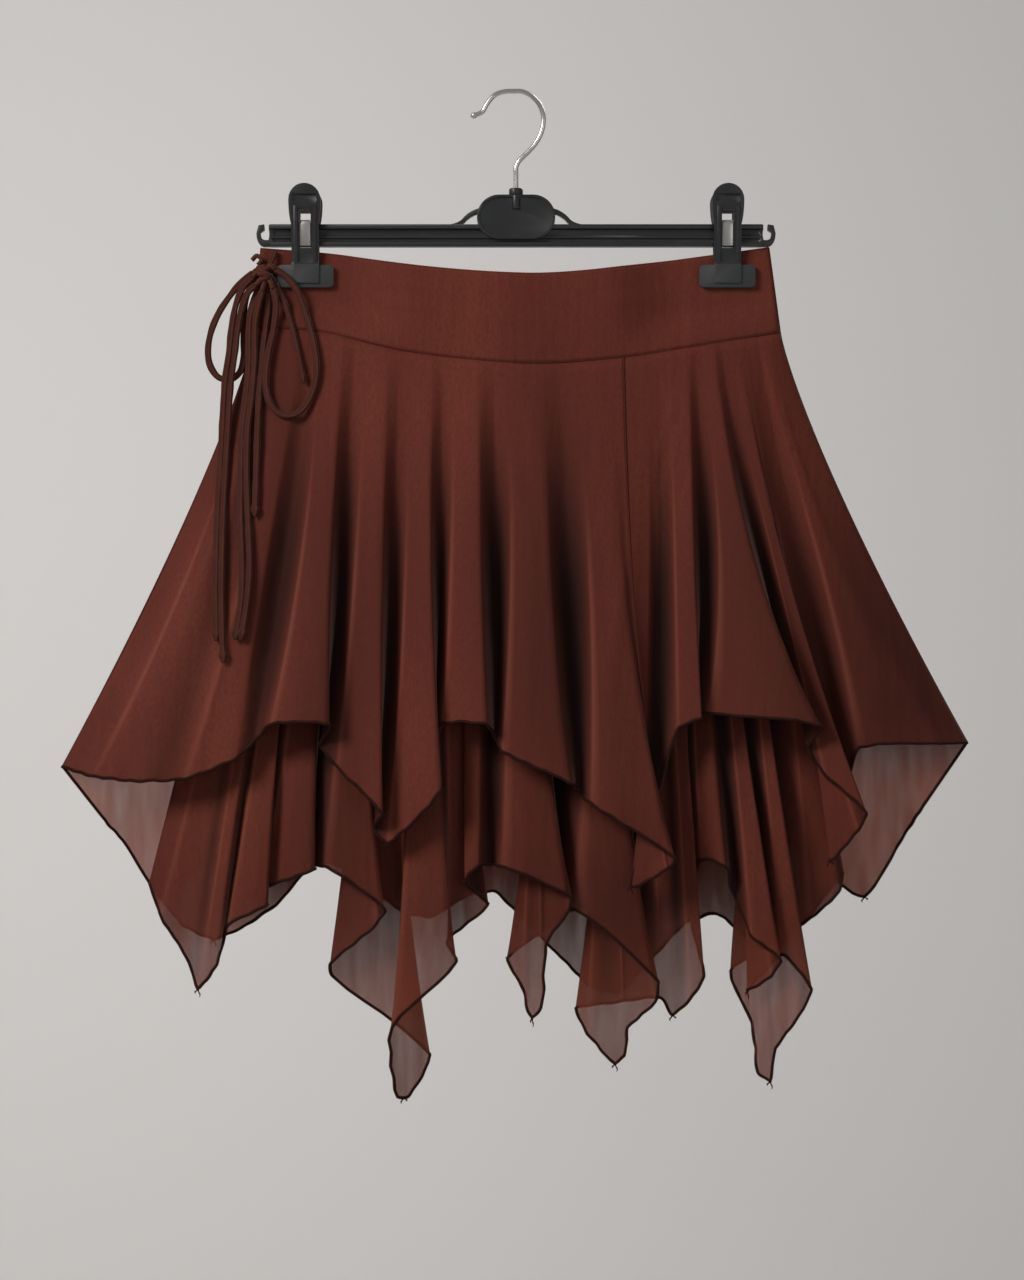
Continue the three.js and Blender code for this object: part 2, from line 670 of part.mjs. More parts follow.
// The front lever of a clip, centred on x = 0: a plate with a round thumb end and a window,
// two ribs, and the rubbered pad that presses the cloth.
function clipLever() {
  const shape = new THREE.Shape();
  const thumbCentre = leverTop - 11.2;
  shape.moveTo(-9.4, padTop);
  shape.lineTo(9.4, padTop);
  shape.lineTo(9.6, -92);
  shape.quadraticCurveTo(11.2, -86, 11.2, thumbCentre);
  shape.absarc(0, thumbCentre, 11.2, 0, Math.PI);
  shape.quadraticCurveTo(-11.2, -86, -9.6, -92);
  const window = new THREE.Path();
  window.moveTo(-4.2, -108.7);
  window.lineTo(4.2, -108.7);
  window.lineTo(4.2, -82.5);
  window.lineTo(-4.2, -82.5);
  shape.holes.push(window);
  const front = -padInner - leverThickness;
  const plate = leaned(slab(shape, front, -padInner, 6));
  const ribs = [-1, 1].map((side) => {
    const near = side * 5.4;
    const far = side * 7.6;
    const rib = block(Math.min(near, far), Math.max(near, far), front - 1.4, front + 0.5, padTop, -80);
    return leaned(rib);
  });
  const foot = roundedRectangle(-9.5, 9.5, padBottom + 3, padTop + 2, 1);
  const footPlate = slab(foot, -padInner - padThickness - 1.2, -padInner - 0.5, 3);
  const pad = roundedRectangle(-padHalfWidth, padHalfWidth, padBottom, padTop, 3);
  const padPlate = slab(pad, -padInner - padThickness, -padInner, 4);
  const dish = new THREE.CylinderGeometry(9.2, 8.2, 1.6, 14);
  dish.translate(0, front - leverLean * (thumbCentre - padTop), thumbCentre + 1.6);
  return joined([plate, ...ribs, footPlate, padPlate]).subtract(solidOf(dish));
}

// The flat spring that runs through both windows and over the bar.
function clipSpring() {
  const half = 3.9;
  const thickness = 0.8;
  const outerFoot = [padInner + leverThickness * 0.5 + leverLean * 13.5, -107];
  const outerKnee = [padInner + leverThickness * 0.5 + leverLean * 27.3, -92.5];
  const roof = -89.2;
  const right = [
    outerFoot, outerKnee, [outerKnee[0] - 0.6, roof - 0.8], [outerKnee[0] - 2.2, roof],
  ];
  const rightInner = [
    [outerKnee[0] - 2.4, roof - thickness], [outerKnee[0] - 1.3, roof - 1.4],
    [outerKnee[0] - thickness, -92.8], [outerFoot[0] - thickness, -106.6],
  ];
  const mirrored = (points) => points.map(([y, z]) => [-y, z]).reverse();
  const outline = [...right, ...mirrored(right), ...mirrored(rightInner), ...rightInner];
  return rail(outline, -half, half);
}

for (const [side, centre] of Object.entries(clipCentres)) {
  const lever = geometryOf(clipLever());
  addMesh(`clip_${side}_front`, lever, padColour).position.x = centre;
  addMesh(`clip_${side}_back`, mirroredFrontToBack(lever), padColour).position.x = centre;
  addMesh(`clip_${side}_spring`, clipSpring(), springColour).position.x = centre;
}

export default part;
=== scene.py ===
"""The looks of a sheer two-layer skirt with a side tie, on its clip hanger.

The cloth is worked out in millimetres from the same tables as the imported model, and every mesh is
made in metres in the model's own frame: origin inside the hook's bend, +Z up, front towards -Y.
"""

import json
import math

import bpy
import numpy as np
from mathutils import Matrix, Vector

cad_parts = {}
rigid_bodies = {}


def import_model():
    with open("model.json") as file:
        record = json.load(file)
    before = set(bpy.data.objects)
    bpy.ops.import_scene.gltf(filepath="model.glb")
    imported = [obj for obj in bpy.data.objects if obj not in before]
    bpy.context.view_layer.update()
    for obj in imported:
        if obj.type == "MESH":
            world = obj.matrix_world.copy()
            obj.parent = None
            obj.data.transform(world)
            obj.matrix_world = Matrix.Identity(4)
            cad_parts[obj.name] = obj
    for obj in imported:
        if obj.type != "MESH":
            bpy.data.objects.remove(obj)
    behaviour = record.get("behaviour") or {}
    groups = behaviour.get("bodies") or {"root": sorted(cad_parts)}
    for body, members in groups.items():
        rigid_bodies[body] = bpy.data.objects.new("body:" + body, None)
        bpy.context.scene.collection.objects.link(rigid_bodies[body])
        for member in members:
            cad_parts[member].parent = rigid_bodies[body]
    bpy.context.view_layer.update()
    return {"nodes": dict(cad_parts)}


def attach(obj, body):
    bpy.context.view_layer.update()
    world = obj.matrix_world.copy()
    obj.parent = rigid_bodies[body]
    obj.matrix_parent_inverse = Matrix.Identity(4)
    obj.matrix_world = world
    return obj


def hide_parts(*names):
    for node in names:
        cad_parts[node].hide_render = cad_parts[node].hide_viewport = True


MM = 0.001
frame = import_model()


# Camera


def add_camera():
    data = bpy.data.cameras.new("camera")
    data.sensor_width = 36
    data.lens = 88.4
    camera = bpy.data.objects.new("camera", data)
    camera.location = (-0.0025, -2.2, -0.3824)
    camera.rotation_euler = (math.pi / 2, 0, 0)
    bpy.context.scene.collection.objects.link(camera)
    bpy.context.scene.camera = camera


add_camera()


# Shader maths


class Value:
    """A socket that takes part in sums. Each sum adds its Math node."""

    def __init__(self, tree, socket):
        self.tree = tree
        self.socket = socket

    def _math(self, operation, first, second):
        return add_node(self.tree, "ShaderNodeMath", {"operation": operation}, i0=first, i1=second)

    def __add__(self, other):
        return self._math("ADD", self, other)

    __radd__ = __add__

    def __sub__(self, other):
        return self._math("SUBTRACT", self, other)

    def __rsub__(self, other):
        return self._math("SUBTRACT", other, self)

    def __mul__(self, other):
        return self._math("MULTIPLY", self, other)

    __rmul__ = __mul__

    def __pow__(self, other):
        return self._math("POWER", self, other)

    def above(self, limit):
        return self._math("GREATER_THAN", self, limit)

    def sine(self):
        return self._math("SINE", self, 0.0)


def add_node(tree, kind, settings=None, output=0, **sockets):
    """Any node from its type, its settings and the values or links of its sockets. A socket is
    given by its name with _ for a space, or as i and its number."""
    node = tree.nodes.new(kind)
    for key, value in (settings or {}).items():
        if key == "stops":
            set_stops(node.color_ramp, value)
        else:
            setattr(node, key, value)
    for key, value in sockets.items():
        numbered = key[0] == "i" and key[1:].isdigit()
        socket = node.inputs[int(key[1:]) if numbered else key.replace("_", " ")]
        if isinstance(value, Value):
            tree.links.new(value.socket, socket)
        else:
            socket.default_value = value
    return Value(tree, node.outputs[output])


def set_stops(ramp, stops):
    while len(ramp.elements) < len(stops):
        ramp.elements.new(0.5)
    for element, (place, colour) in zip(ramp.elements, stops):
        element.position = place
        element.color = colour


class Finish:
    """One material and the nodes that finishes are made of."""

    def __init__(self, name):
        self.material = bpy.data.materials.new(name)
        self.material.use_nodes = True
        self.tree = self.material.node_tree
        self.tree.nodes.clear()

    def node(self, kind, settings=None, output=0, **sockets):
        return add_node(self.tree, kind, settings, output, **sockets)

    def objects(self):
        return self.node("ShaderNodeTexCoord", output=3)

    def cloth_map(self):
        return self.node("ShaderNodeTexCoord", output=2)

    def attribute(self, name):
        return self.node("ShaderNodeAttribute", {"attribute_name": name}, output=2)

    def axes(self, vector):
        split = self.node("ShaderNodeSeparateXYZ", Vector=vector).socket.node
        return [Value(self.tree, socket) for socket in split.outputs]

    def noise(self, scale, detail, roughness, stretch=(1, 1, 1)):
        """Noise over the piece, drawn out along the axes where stretch is low."""
        place = self.node("ShaderNodeMapping", Vector=self.objects(), Scale=stretch)
        return self.node(
            "ShaderNodeTexNoise", Vector=place, Scale=scale, Detail=detail, Roughness=roughness
        )

    def mixed(self, share, first, second):
        return self.node("ShaderNodeMix", {"data_type": "RGBA"}, 2, i0=share, i6=first, i7=second)

    def bump(self, height, strength, distance, normal=None):
        extra = {"Normal": normal} if normal else {}
        return self.node(
            "ShaderNodeBump", Height=height, Strength=strength, Distance=distance, **extra
        )

    def done(self, **sockets):
        shader = self.node("ShaderNodeBsdfPrincipled", **sockets)
        output = self.tree.nodes.new("ShaderNodeOutputMaterial")
        self.tree.links.new(shader.socket, output.inputs[0])
        return self.material


def linear(red, green, blue):
    """A colour on screen, 0 to 255, as the light it stands for, with full cover."""

    def channel(value):
        value /= 255
        return value / 12.92 if value <= 0.04045 else ((value + 0.055) / 1.055) ** 2.4

    return (channel(red), channel(green), channel(blue), 1)


# Finishes

RUST = linear(99, 45, 34)
RUST_DEEP = linear(74, 32, 24)
RUST_BRIGHT = linear(117, 57, 42)
# Painted shade for the valleys between folds.
PAINTED_VALLEY_SHADE = linear(17, 5, 3)
# Painted highlight for the fold edges.
PAINTED_HIGHLIGHT_COLOUR = linear(166, 96, 76)
# Colour of the painted light given off, by emission, where light would shine through sheer cloth.
PAINTED_GLOW_COLOUR = (0.105, 0.024, 0.009, 1)
UNLIT = (0, 0, 0, 1)
THREAD = linear(54, 23, 16)
THREAD_DARK = linear(28, 11, 7)
CORD = linear(84, 41, 30)
CORD_DARK = linear(40, 17, 12)
CLOTH_SHEEN = linear(205, 112, 82)
CORD_SHEEN = linear(196, 118, 92)
SEAM_THREAD = linear(88, 40, 32)
SEAM_THREAD_DARK = linear(56, 24, 19)
BLACK = linear(25, 26, 26)
BLACK_RUBBED = linear(46, 47, 47)
PAD_GREY = linear(40, 43, 43)
HOOK_STEEL = linear(206, 205, 202)
SPRING_STEEL = linear(196, 192, 184)
PALE = (0.74, 0.725, 0.71, 1)

WEAVE_PITCH = 0.0011
CORD_RIBS = 26
PAD_TOP = -0.1198
# How far the painted shade darkens the valleys.
PAINTED_VALLEY_SHADE_SHARE = 0.94
# How far the painted highlight lightens the fold edges.
PAINTED_HIGHLIGHT_SHARE = 0.18
CLOSED = 1.75  # cover at which no light comes through between the threads


def mesh_weave(finish):
    """Threads of a fine mesh, 1 on a thread and 0 in a hole, along the cloth's own map."""
    across, down, _ = finish.axes(finish.cloth_map())
    turn = 2 * math.pi / WEAVE_PITCH
    columns = (across * turn).sine()
    rows = (down * turn + columns * 0.6).sine()
    return (columns * columns + rows * rows) * 0.5


def cloth_finish(name, sheer):
    """Fine mesh with painted shade in its valleys and a painted highlight on its fold edges. Sheer
    mesh lets light through where its cover is low, and gives off a little painted light, by
    emission, where light would shine through it."""
    finish = Finish(name)
    weave = mesh_weave(finish)
    broad = finish.noise(9, 1, 0.6, (1, 1, 0.35))
    fine = finish.noise(380, 2, 0.75, (1.6, 1.6, 0.7))
    crinkle = finish.noise(42, 1, 0.6, (3.0, 1.0, 0.5))
    tone = finish.node(
        "ShaderNodeValToRGB",
        {"stops": [(0.3, RUST_DEEP), (0.52, RUST), (0.75, RUST_BRIGHT)]},
        Fac=broad,
    )
    threads = finish.mixed(weave * 0.25 + fine * 0.9 - 0.2, tone, RUST_DEEP)
    # Painted shade darkens the valleys between folds.
    hollow = finish.attribute("hollow") * PAINTED_VALLEY_SHADE_SHARE
    # A painted highlight lightens the fold edges.
    crest = finish.attribute("crest") * PAINTED_HIGHLIGHT_SHARE
    threads = finish.mixed(hollow, threads, PAINTED_VALLEY_SHADE)
    threads = finish.mixed(crest, threads, PAINTED_HIGHLIGHT_COLOUR)
    height = weave * 0.5 + fine * 0.5
    normal = finish.bump(height, 0.22, 0.0004, finish.bump(crinkle, 0.35, 0.0022))
    sockets = {
        "Base_Color": threads,
        "Roughness": 0.72 + fine * 0.2,
        "Normal": normal,
        "Sheen_Weight": 0.12,
        "Sheen_Roughness": 0.4,
        "Sheen_Tint": CLOTH_SHEEN,
        "Specular_IOR_Level": 0.15,
    }
    if sheer:
        # Painted light, by emission, where light would shine through the sheer mesh.
        glow = finish.mixed(finish.attribute("glow"), UNLIT, PAINTED_GLOW_COLOUR)
        sockets["Emission_Color"] = glow
        sockets["Emission_Strength"] = 1.0
        sockets["Alpha"] = finish.attribute("cover") * (0.68 + weave * 0.3 + crinkle * 0.34)
    return finish.done(**sockets)


def thread_finish(name, light, dark):
    """Twisted thread, as uneven dark and light strands."""
    finish = Finish(name)
    strands = finish.noise(1600, 3, 0.6)
    tone = finish.mixed(strands, light, dark)
    return finish.done(
        Base_Color=tone,
        Roughness=0.62 + strands * 0.25,
        Normal=finish.bump(strands, 0.4, 0.0003),
        Specular_IOR_Level=0.1,
    )


def cord_finish():
    """Knitted cord, with ribs along it, loops across them and painted groove shade down each face.
    """
    finish = Finish("tie_cloth")
    round_it, along, _ = finish.axes(finish.cloth_map())
    ribs = (round_it * 2 * math.pi * CORD_RIBS).sine() * 0.5 + 0.5
    loops = (along * (2 * math.pi / WEAVE_PITCH) + ribs * 1.5).sine() * 0.5 + 0.5
    # Painted shade: dark stripes down each face stand for the shade of its groove.
    face = (round_it * 4 * math.pi).sine()
    groove = (face * face) ** 5
    grain = finish.noise(700, 3, 0.6, (1, 1, 0.4))
    patches = finish.noise(60, 3, 0.5)
    shade = patches * 0.5 + grain * 0.2 + groove * 0.5
    tone = finish.mixed(shade, CORD, CORD_DARK)
    return finish.done(
        Base_Color=tone,
        Roughness=0.68 + grain * 0.2,
        Normal=finish.bump(ribs * 0.35 + loops * 0.25 + grain * 0.4, 0.35, 0.0003),
        Sheen_Weight=0.08,
        Sheen_Roughness=0.4,
        Sheen_Tint=CORD_SHEEN,
        Specular_IOR_Level=0.18,
    )


def plastic_finish(name, pads):
    """Black moulded plastic with a fine grain and rubbed spots. pads greys what grips the cloth."""
    finish = Finish(name)
    grain = finish.noise(1400, 2, 0.6)
    scuffs = finish.noise(130, 5, 0.65, (0.4, 1, 1))
    rubbed = finish.node("ShaderNodeMapRange", i0=scuffs, i1=0.55, i2=0.75, i3=0.0, i4=1.0)
    body = finish.mixed(rubbed * 0.35, BLACK, BLACK_RUBBED)
    rough = 0.34 + grain * 0.16 + rubbed * 0.1
    if pads:
        _, _, height = finish.axes(finish.objects())
        pad = 1 - height.above(PAD_TOP)
        body = finish.mixed(pad, body, PAD_GREY)
        rough = rough + pad * 0.2
    return finish.done(
        Base_Color=body,
        Roughness=rough,
        Normal=finish.bump(grain, 0.12, 0.0002),
        Specular_IOR_Level=0.5,
    )


def darker(colour, share):
    return (*(channel * share for channel in colour[:3]), 1)


def metal_finish(name, colour, rough, brushed):
    """Steel with fine lines, drawn out along the axes where brushed is low."""
    finish = Finish(name)
    lines = finish.noise(900, 3, 0.7, brushed)
    cloud = finish.noise(60, 3, 0.5)
    tone = finish.mixed(cloud * 0.4, colour, darker(colour, 0.72))
    return finish.done(
        Base_Color=tone,
        Metallic=1.0,
        Roughness=rough + lines * 0.14,
        Normal=finish.bump(lines, 0.06, 0.0001),
    )


def plain_finish(name, colour, rough):
    """The room's floor and backdrop, faintly clouded."""
    finish = Finish(name)
    cloud = finish.noise(1.2, 4, 0.5)
    tone = finish.mixed(cloud * 0.2, colour, darker(colour, 0.93))
    return finish.done(Base_Color=tone, Roughness=rough)


sheer_cloth = cloth_finish("sheer_mesh", sheer=True)
yoke_cloth = cloth_finish("yoke_double_mesh", sheer=False)
hem_thread = thread_finish("rolled_hem_thread", THREAD, THREAD_DARK)
seam_thread = thread_finish("seam_thread", SEAM_THREAD, SEAM_THREAD_DARK)
tie_cloth = cord_finish()
bar_plastic = plastic_finish("black_bar_plastic", pads=False)
clip_plastic = plastic_finish("black_clip_plastic", pads=True)
hook_steel = metal_finish("polished_hook_steel", HOOK_STEEL, 0.16, (1, 1, 1))
spring_steel = metal_finish("satin_spring_steel", SPRING_STEEL, 0.26, (6, 1, 0.4))


# Meshes


def link(name, mesh):
    piece = bpy.data.objects.new(name, mesh)
    bpy.context.scene.collection.objects.link(piece)
    return piece


def shape(name, vertices, faces, material=None, edges=()):
    """A piece made from vertices, and faces or edges."""
    mesh = bpy.data.meshes.new(name)
    mesh.from_pydata(vertices, edges, faces)
    if material:
        mesh.materials.append(material)
    return link(name, mesh)


def lay_map(mesh, places):
    """The cloth's own map, from how far across and down each vertex lies."""
    corner = np.zeros(len(mesh.loops), int)
    mesh.loops.foreach_get("vertex_index", corner)
    layer = mesh.uv_layers.new(name="cloth")
    layer.data.foreach_set("uv", np.asarray(places)[corner].ravel())


def made(piece):
    """The piece with its modifiers worked into its mesh."""
    graph = bpy.context.evaluated_depsgraph_get()
    graph.update()
    mesh = bpy.data.meshes.new_from_object(piece.evaluated_get(graph))
    piece.modifiers.clear()
    piece.data = mesh
    mesh.polygons.foreach_set("use_smooth", [True] * len(mesh.polygons))
    return piece


def placed(piece, slot, *nodes):
    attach(piece, "root")
    if nodes:
        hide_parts(*nodes)
    return piece


def ease(low, high, value):
    t = np.clip((value - low) / (high - low), 0, 1)
    return t * t * (3 - 2 * t)


def unit(vectors):
    return vectors / np.linalg.norm(vectors, axis=-1, keepdims=True)


def distances(grid, axis=0):
    """How far each point lies along its line, row or column of points."""
    steps = np.linalg.norm(np.diff(grid, axis=axis), axis=-1)
    start = np.zeros_like(np.take(steps, [0], axis=axis))
    return np.concatenate([start, np.cumsum(steps, axis=axis)], axis=axis)


def eased_between(t, start, leave, end, arrive):
    """The smooth run from start to end that leaves and arrives with the given slopes."""
    return (
        (2 * t**3 - 3 * t**2 + 1) * start
        + (t**3 - 2 * t**2 + t) * leave
        + (3 * t**2 - 2 * t**3) * end
        + (t**3 - t**2) * arrive
    )


def read_along(places, order, points):
    """The points of a line at new places along it, straight between the given ones."""
    return np.stack([np.interp(places, order, column) for column in np.transpose(points)], axis=-1)


def smooth_through(points, per_span):
    """A smooth line through the points, in equal steps of each span."""
    given = np.array(points, float)
    ends = np.vstack([2 * given[0] - given[1], given, 2 * given[-1] - given[-2]])
    spans = np.maximum(np.linalg.norm(np.diff(ends, axis=0), axis=1) ** 0.5, 1e-6)
    steps = np.arange(per_span)[:, None] / per_span
    line = []
    for i in range(len(given) - 1):
        a, b, c, d = ends[i : i + 4]
        before, here, after = spans[i : i + 3]
        leave = ((b - a) / before - (c - a) / (before + here) + (c - b) / here) * here
        arrive = ((c - b) / here - (d - b) / (here + after) + (d - c) / after) * here
        line.append(eased_between(steps, b, leave, c, arrive))
    line.append(given[-1:])
    return np.vstack(line)


def ring_faces(first, rings, sides, turned):
    """The faces of a closed tube whose rings of vertices start at first. turned is for rings that
    run the other way round."""
    faces = []
    for r in range(rings - 1):
        for k in range(sides):
            a = first + r * sides + k
            b = first + r * sides + (k + 1) % sides
            quad = (a, b, b + sides, a + sides)
            faces.append((a, *quad[:0:-1]) if turned else quad)
    start = tuple(range(first, first + sides))
    end = tuple(i + (rings - 1) * sides for i in start)
    faces += [start, end[::-1]] if turned else [start[::-1], end]
    return faces


def rings_along(points, radii, sides):
    """A tube's rings of vertices about a line of points."""
    points = np.array(points, float)
    tangents = unit(np.gradient(points, axis=0))
    side = np.cross(tangents[0], (0.31, 0.87, 0.38))
    vertices = []
    for point, tangent, radius in zip(points, tangents, radii):
        side = unit(side - tangent * (side @ tangent))
        other = np.cross(tangent, side)
        for k in range(sides):
            angle = 2 * math.pi * k / sides
            vertices.append(point + radius * (math.cos(angle) * side + math.sin(angle) * other))
    return vertices


def tubes(name, lines, material, sides):
    """One piece of several tubes, each a line of points with its radius or radii."""
    vertices, faces = [], []
    for points, radius in lines:
        faces += ring_faces(len(vertices), len(points), sides, turned=False)
        vertices += rings_along(points, np.broadcast_to(radius, len(points)), sides)
    piece = shape(name, vertices, faces, material)
    round_faces(piece)
    return piece


def round_faces(piece):
    """Shade a tube's sides smooth and leave its two ends flat."""
    sides = [len(face.vertices) == 4 for face in piece.data.polygons]
    piece.data.polygons.foreach_set("use_smooth", sides)


# Tie: flat cloth cords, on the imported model's own routes

CORD_HALF_WIDTH = 0.0023
CORD_HALF_DEPTH = 0.0016
CORD_SIDES = 20
CORD_STEP = 0.0012
GROOVE_DEPTH = 0.42
END_KNOT_PLACE = 0.0052
END_KNOT_LENGTH = 0.0017
END_KNOT_SWELL = 0.42
KNOT_RADIUS = 0.0018
KNOT_REACH = 0.0042
tie_routes = {
    "tie_loop_left": [
        (-0.1834, -0.0052, -0.1262), (-0.1887, -0.0051, -0.1302), (-0.1936, -0.005, -0.1348),
        (-0.202, -0.0048, -0.1456), (-0.2078, -0.0048, -0.155), (-0.2125, -0.0048, -0.1665),
        (-0.2148, -0.0048, -0.18), (-0.2132, -0.0048, -0.191), (-0.207, -0.0048, -0.1992),
        (-0.198, -0.0048, -0.2), (-0.192, -0.0048, -0.1944), (-0.1899, -0.0048, -0.1855),
        (-0.19, -0.0048, -0.1735), (-0.1898, -0.0048, -0.16), (-0.1888, -0.0048, -0.146),
        (-0.1859, -0.0049, -0.1372), (-0.183, -0.005, -0.1332),
    ],
    "tie_loop_right": [
        (-0.1676, -0.009, -0.1238), (-0.1604, -0.0084, -0.1286), (-0.153, -0.0082, -0.138),
        (-0.1467, -0.0088, -0.1542), (-0.1413, -0.012, -0.1724), (-0.1387, -0.015, -0.1885),
        (-0.139, -0.0166, -0.2018), (-0.1439, -0.0168, -0.2158), (-0.1509, -0.0164, -0.2242),
        (-0.1586, -0.0156, -0.2263), (-0.1656, -0.0154, -0.224), (-0.1708, -0.015, -0.2176),
        (-0.1734, -0.014, -0.2088), (-0.174, -0.0128, -0.199), (-0.1724, -0.0112, -0.1836),
        (-0.169, -0.0094, -0.1668), (-0.167, -0.0092, -0.1521), (-0.1674, -0.0096, -0.144),
        (-0.1692, -0.0098, -0.1376),
    ],
    "tie_end_short": [
        (-0.1684, -0.0058, -0.1334), (-0.1664, -0.0065, -0.138), (-0.1626, -0.0066, -0.144),
        (-0.1583, -0.0078, -0.1563), (-0.1537, -0.0104, -0.1731), (-0.1502, -0.013, -0.1885),
        (-0.1472, -0.0148, -0.204),
    ],
    "tie_tail_1": [
        (-0.1834, -0.009, -0.1294), (-0.1896, -0.0096, -0.136), (-0.1946, -0.01, -0.148),
        (-0.198, -0.01, -0.166), (-0.2, -0.0098, -0.1845), (-0.2024, -0.0096, -0.2005),
        (-0.205, -0.0092, -0.243), (-0.206, -0.0112, -0.2635), (-0.2072, -0.0144, -0.2895),
        (-0.208, -0.0212, -0.34), (-0.2072, -0.0264, -0.383),
    ],
    "tie_tail_2": [
        (-0.1814, -0.0104, -0.1352), (-0.1862, -0.0104, -0.14), (-0.1904, -0.01, -0.15),
        (-0.1938, -0.0098, -0.166), (-0.1959, -0.0096, -0.1845), (-0.1983, -0.0094, -0.2005),
        (-0.201, -0.0096, -0.243), (-0.202, -0.012, -0.2635), (-0.2031, -0.0156, -0.2895),
        (-0.2038, -0.0222, -0.34), (-0.2031, -0.0265, -0.3755), (-0.202, -0.0288, -0.398),
    ],
    "tie_tail_3": [
        (-0.18, -0.0066, -0.1384), (-0.183, -0.008, -0.147), (-0.1852, -0.0096, -0.157),
        (-0.186, -0.0098, -0.17), (-0.186, -0.0099, -0.1885), (-0.188, -0.0102, -0.2144),
        (-0.1904, -0.013, -0.235), (-0.191, -0.0162, -0.2655), (-0.1908, -0.0196, -0.2991),
        (-0.1894, -0.0246, -0.332), (-0.1898, -0.0268, -0.3544), (-0.1939, -0.0286, -0.3824),
    ],
    "tie_tail_4": [
        (-0.1768, -0.01, -0.1394), (-0.1792, -0.01, -0.148), (-0.1812, -0.0099, -0.158),
        (-0.182, -0.0098, -0.17), (-0.182, -0.0104, -0.1885), (-0.184, -0.012, -0.2144),
        (-0.1864, -0.0142, -0.235), (-0.1869, -0.017, -0.2655), (-0.1856, -0.0206, -0.2991),
        (-0.1842, -0.025, -0.332), (-0.1856, -0.0274, -0.3544), (-0.1898, -0.029, -0.3824),
    ],
    "tie_tail_5": [
        (-0.1728, -0.0058, -0.1394), (-0.1728, -0.006, -0.149), (-0.1746, -0.007, -0.166),
        (-0.1764, -0.0088, -0.183), (-0.1778, -0.01, -0.199), (-0.1788, -0.0126, -0.217),
        (-0.1796, -0.0156, -0.243), (-0.1802, -0.0186, -0.272), (-0.1806, -0.0204, -0.288),
        (-0.1809, -0.0212, -0.297),
    ],
}
tie_loops = ("tie_loop_left", "tie_loop_right")
knot_centre = np.array([-0.1754, -0.0072, -0.127])


def flat_cord(name, line, sizes):
    """A flattened cloth tube with a groove down each face, from its points and its size at each."""
    angles = np.linspace(0, 2 * math.pi, CORD_SIDES, endpoint=False)
    groove = 1 - GROOVE_DEPTH * np.exp(-((np.cos(angles) / 0.3) ** 2))
    outline = np.stack([np.cos(angles), np.sin(angles) * groove], axis=-1)
    tangents = unit(np.gradient(line, axis=0))
    wide = unit(np.cross(tangents, (0.0, 1.0, 0.0)))
    thick = np.cross(wide, tangents)
    vertices, places = [], []
    for point, w, t, size, run in zip(line, wide, thick, sizes, distances(line)):
        half_width, half_depth = CORD_HALF_WIDTH * size, CORD_HALF_DEPTH * size
        ring = point + outline[:, :1] * half_width * w + outline[:, 1:] * half_depth * t
        vertices += ring.tolist()
        places += [(k / CORD_SIDES, run) for k in range(CORD_SIDES)]
    faces = ring_faces(0, len(line), CORD_SIDES, turned=True)
    cord = shape(name, vertices, faces, tie_cloth)
    round_faces(cord)
    lay_map(cord.data, places)
    return cord


def even_line(points):
    """A smooth line through the points, in equal steps, and its length."""
    fine = smooth_through(points, 16)
    along = distances(fine)
    places = np.linspace(0, along[-1], max(4, round(along[-1] / CORD_STEP)) + 1)
    return read_along(places, along, fine), along[-1]


def cord_sizes(count, length, knotted):
    """The cord's size at each ring: a little uneven, with a small tied knot at a free end."""
    along = np.linspace(0, length, count)
    sizes = 1 + 0.05 * np.sin(along * 190) + 0.035 * np.sin(along * 410 + 1.3)
    if knotted:
        from_end = length - along
        off_knot = (from_end - END_KNOT_PLACE) / END_KNOT_LENGTH
        sizes *= 1 + END_KNOT_SWELL * np.exp(-(off_knot**2))
        sizes *= 0.5 + 0.5 * ease(0, 0.003, from_end)
    return sizes


def waist_strand():
    """The short strand that comes up from the knot to the waist edge."""
    route = [(-0.168, -0.0034, -0.1104), (-0.1692, -0.0046, -0.1142), (-0.1712, -0.006, -0.119),
             (-0.1738, -0.0068, -0.1238)]
    line, _ = even_line(route)
    strand = flat_cord("tie_top_cloth", line, np.full(len(line), 0.82))
    return placed(strand, "tie_cord", "tie_top")


def tie_cords():
    strand = waist_strand()
    for name, points in tie_routes.items():
        line, length = even_line(points)
        looped = name in tie_loops
        sizes = cord_sizes(len(line), length, knotted=not looped)
        if name == "tie_end_short":
            sizes *= np.linspace(1, 0.62, len(line))
        cord = flat_cord(name + "_cloth", line, sizes)
        placed(cord, "tie_cord", name)


def knot_wrap(radius_x, radius_y, height, tilt):
    """One turn of cord round the knot, as points from its centre."""
    angles = np.linspace(0, 2 * math.pi, 25)
    x = np.cos(angles) * radius_x
    return np.stack([x, np.sin(angles) * radius_y, height + tilt * x], axis=-1)


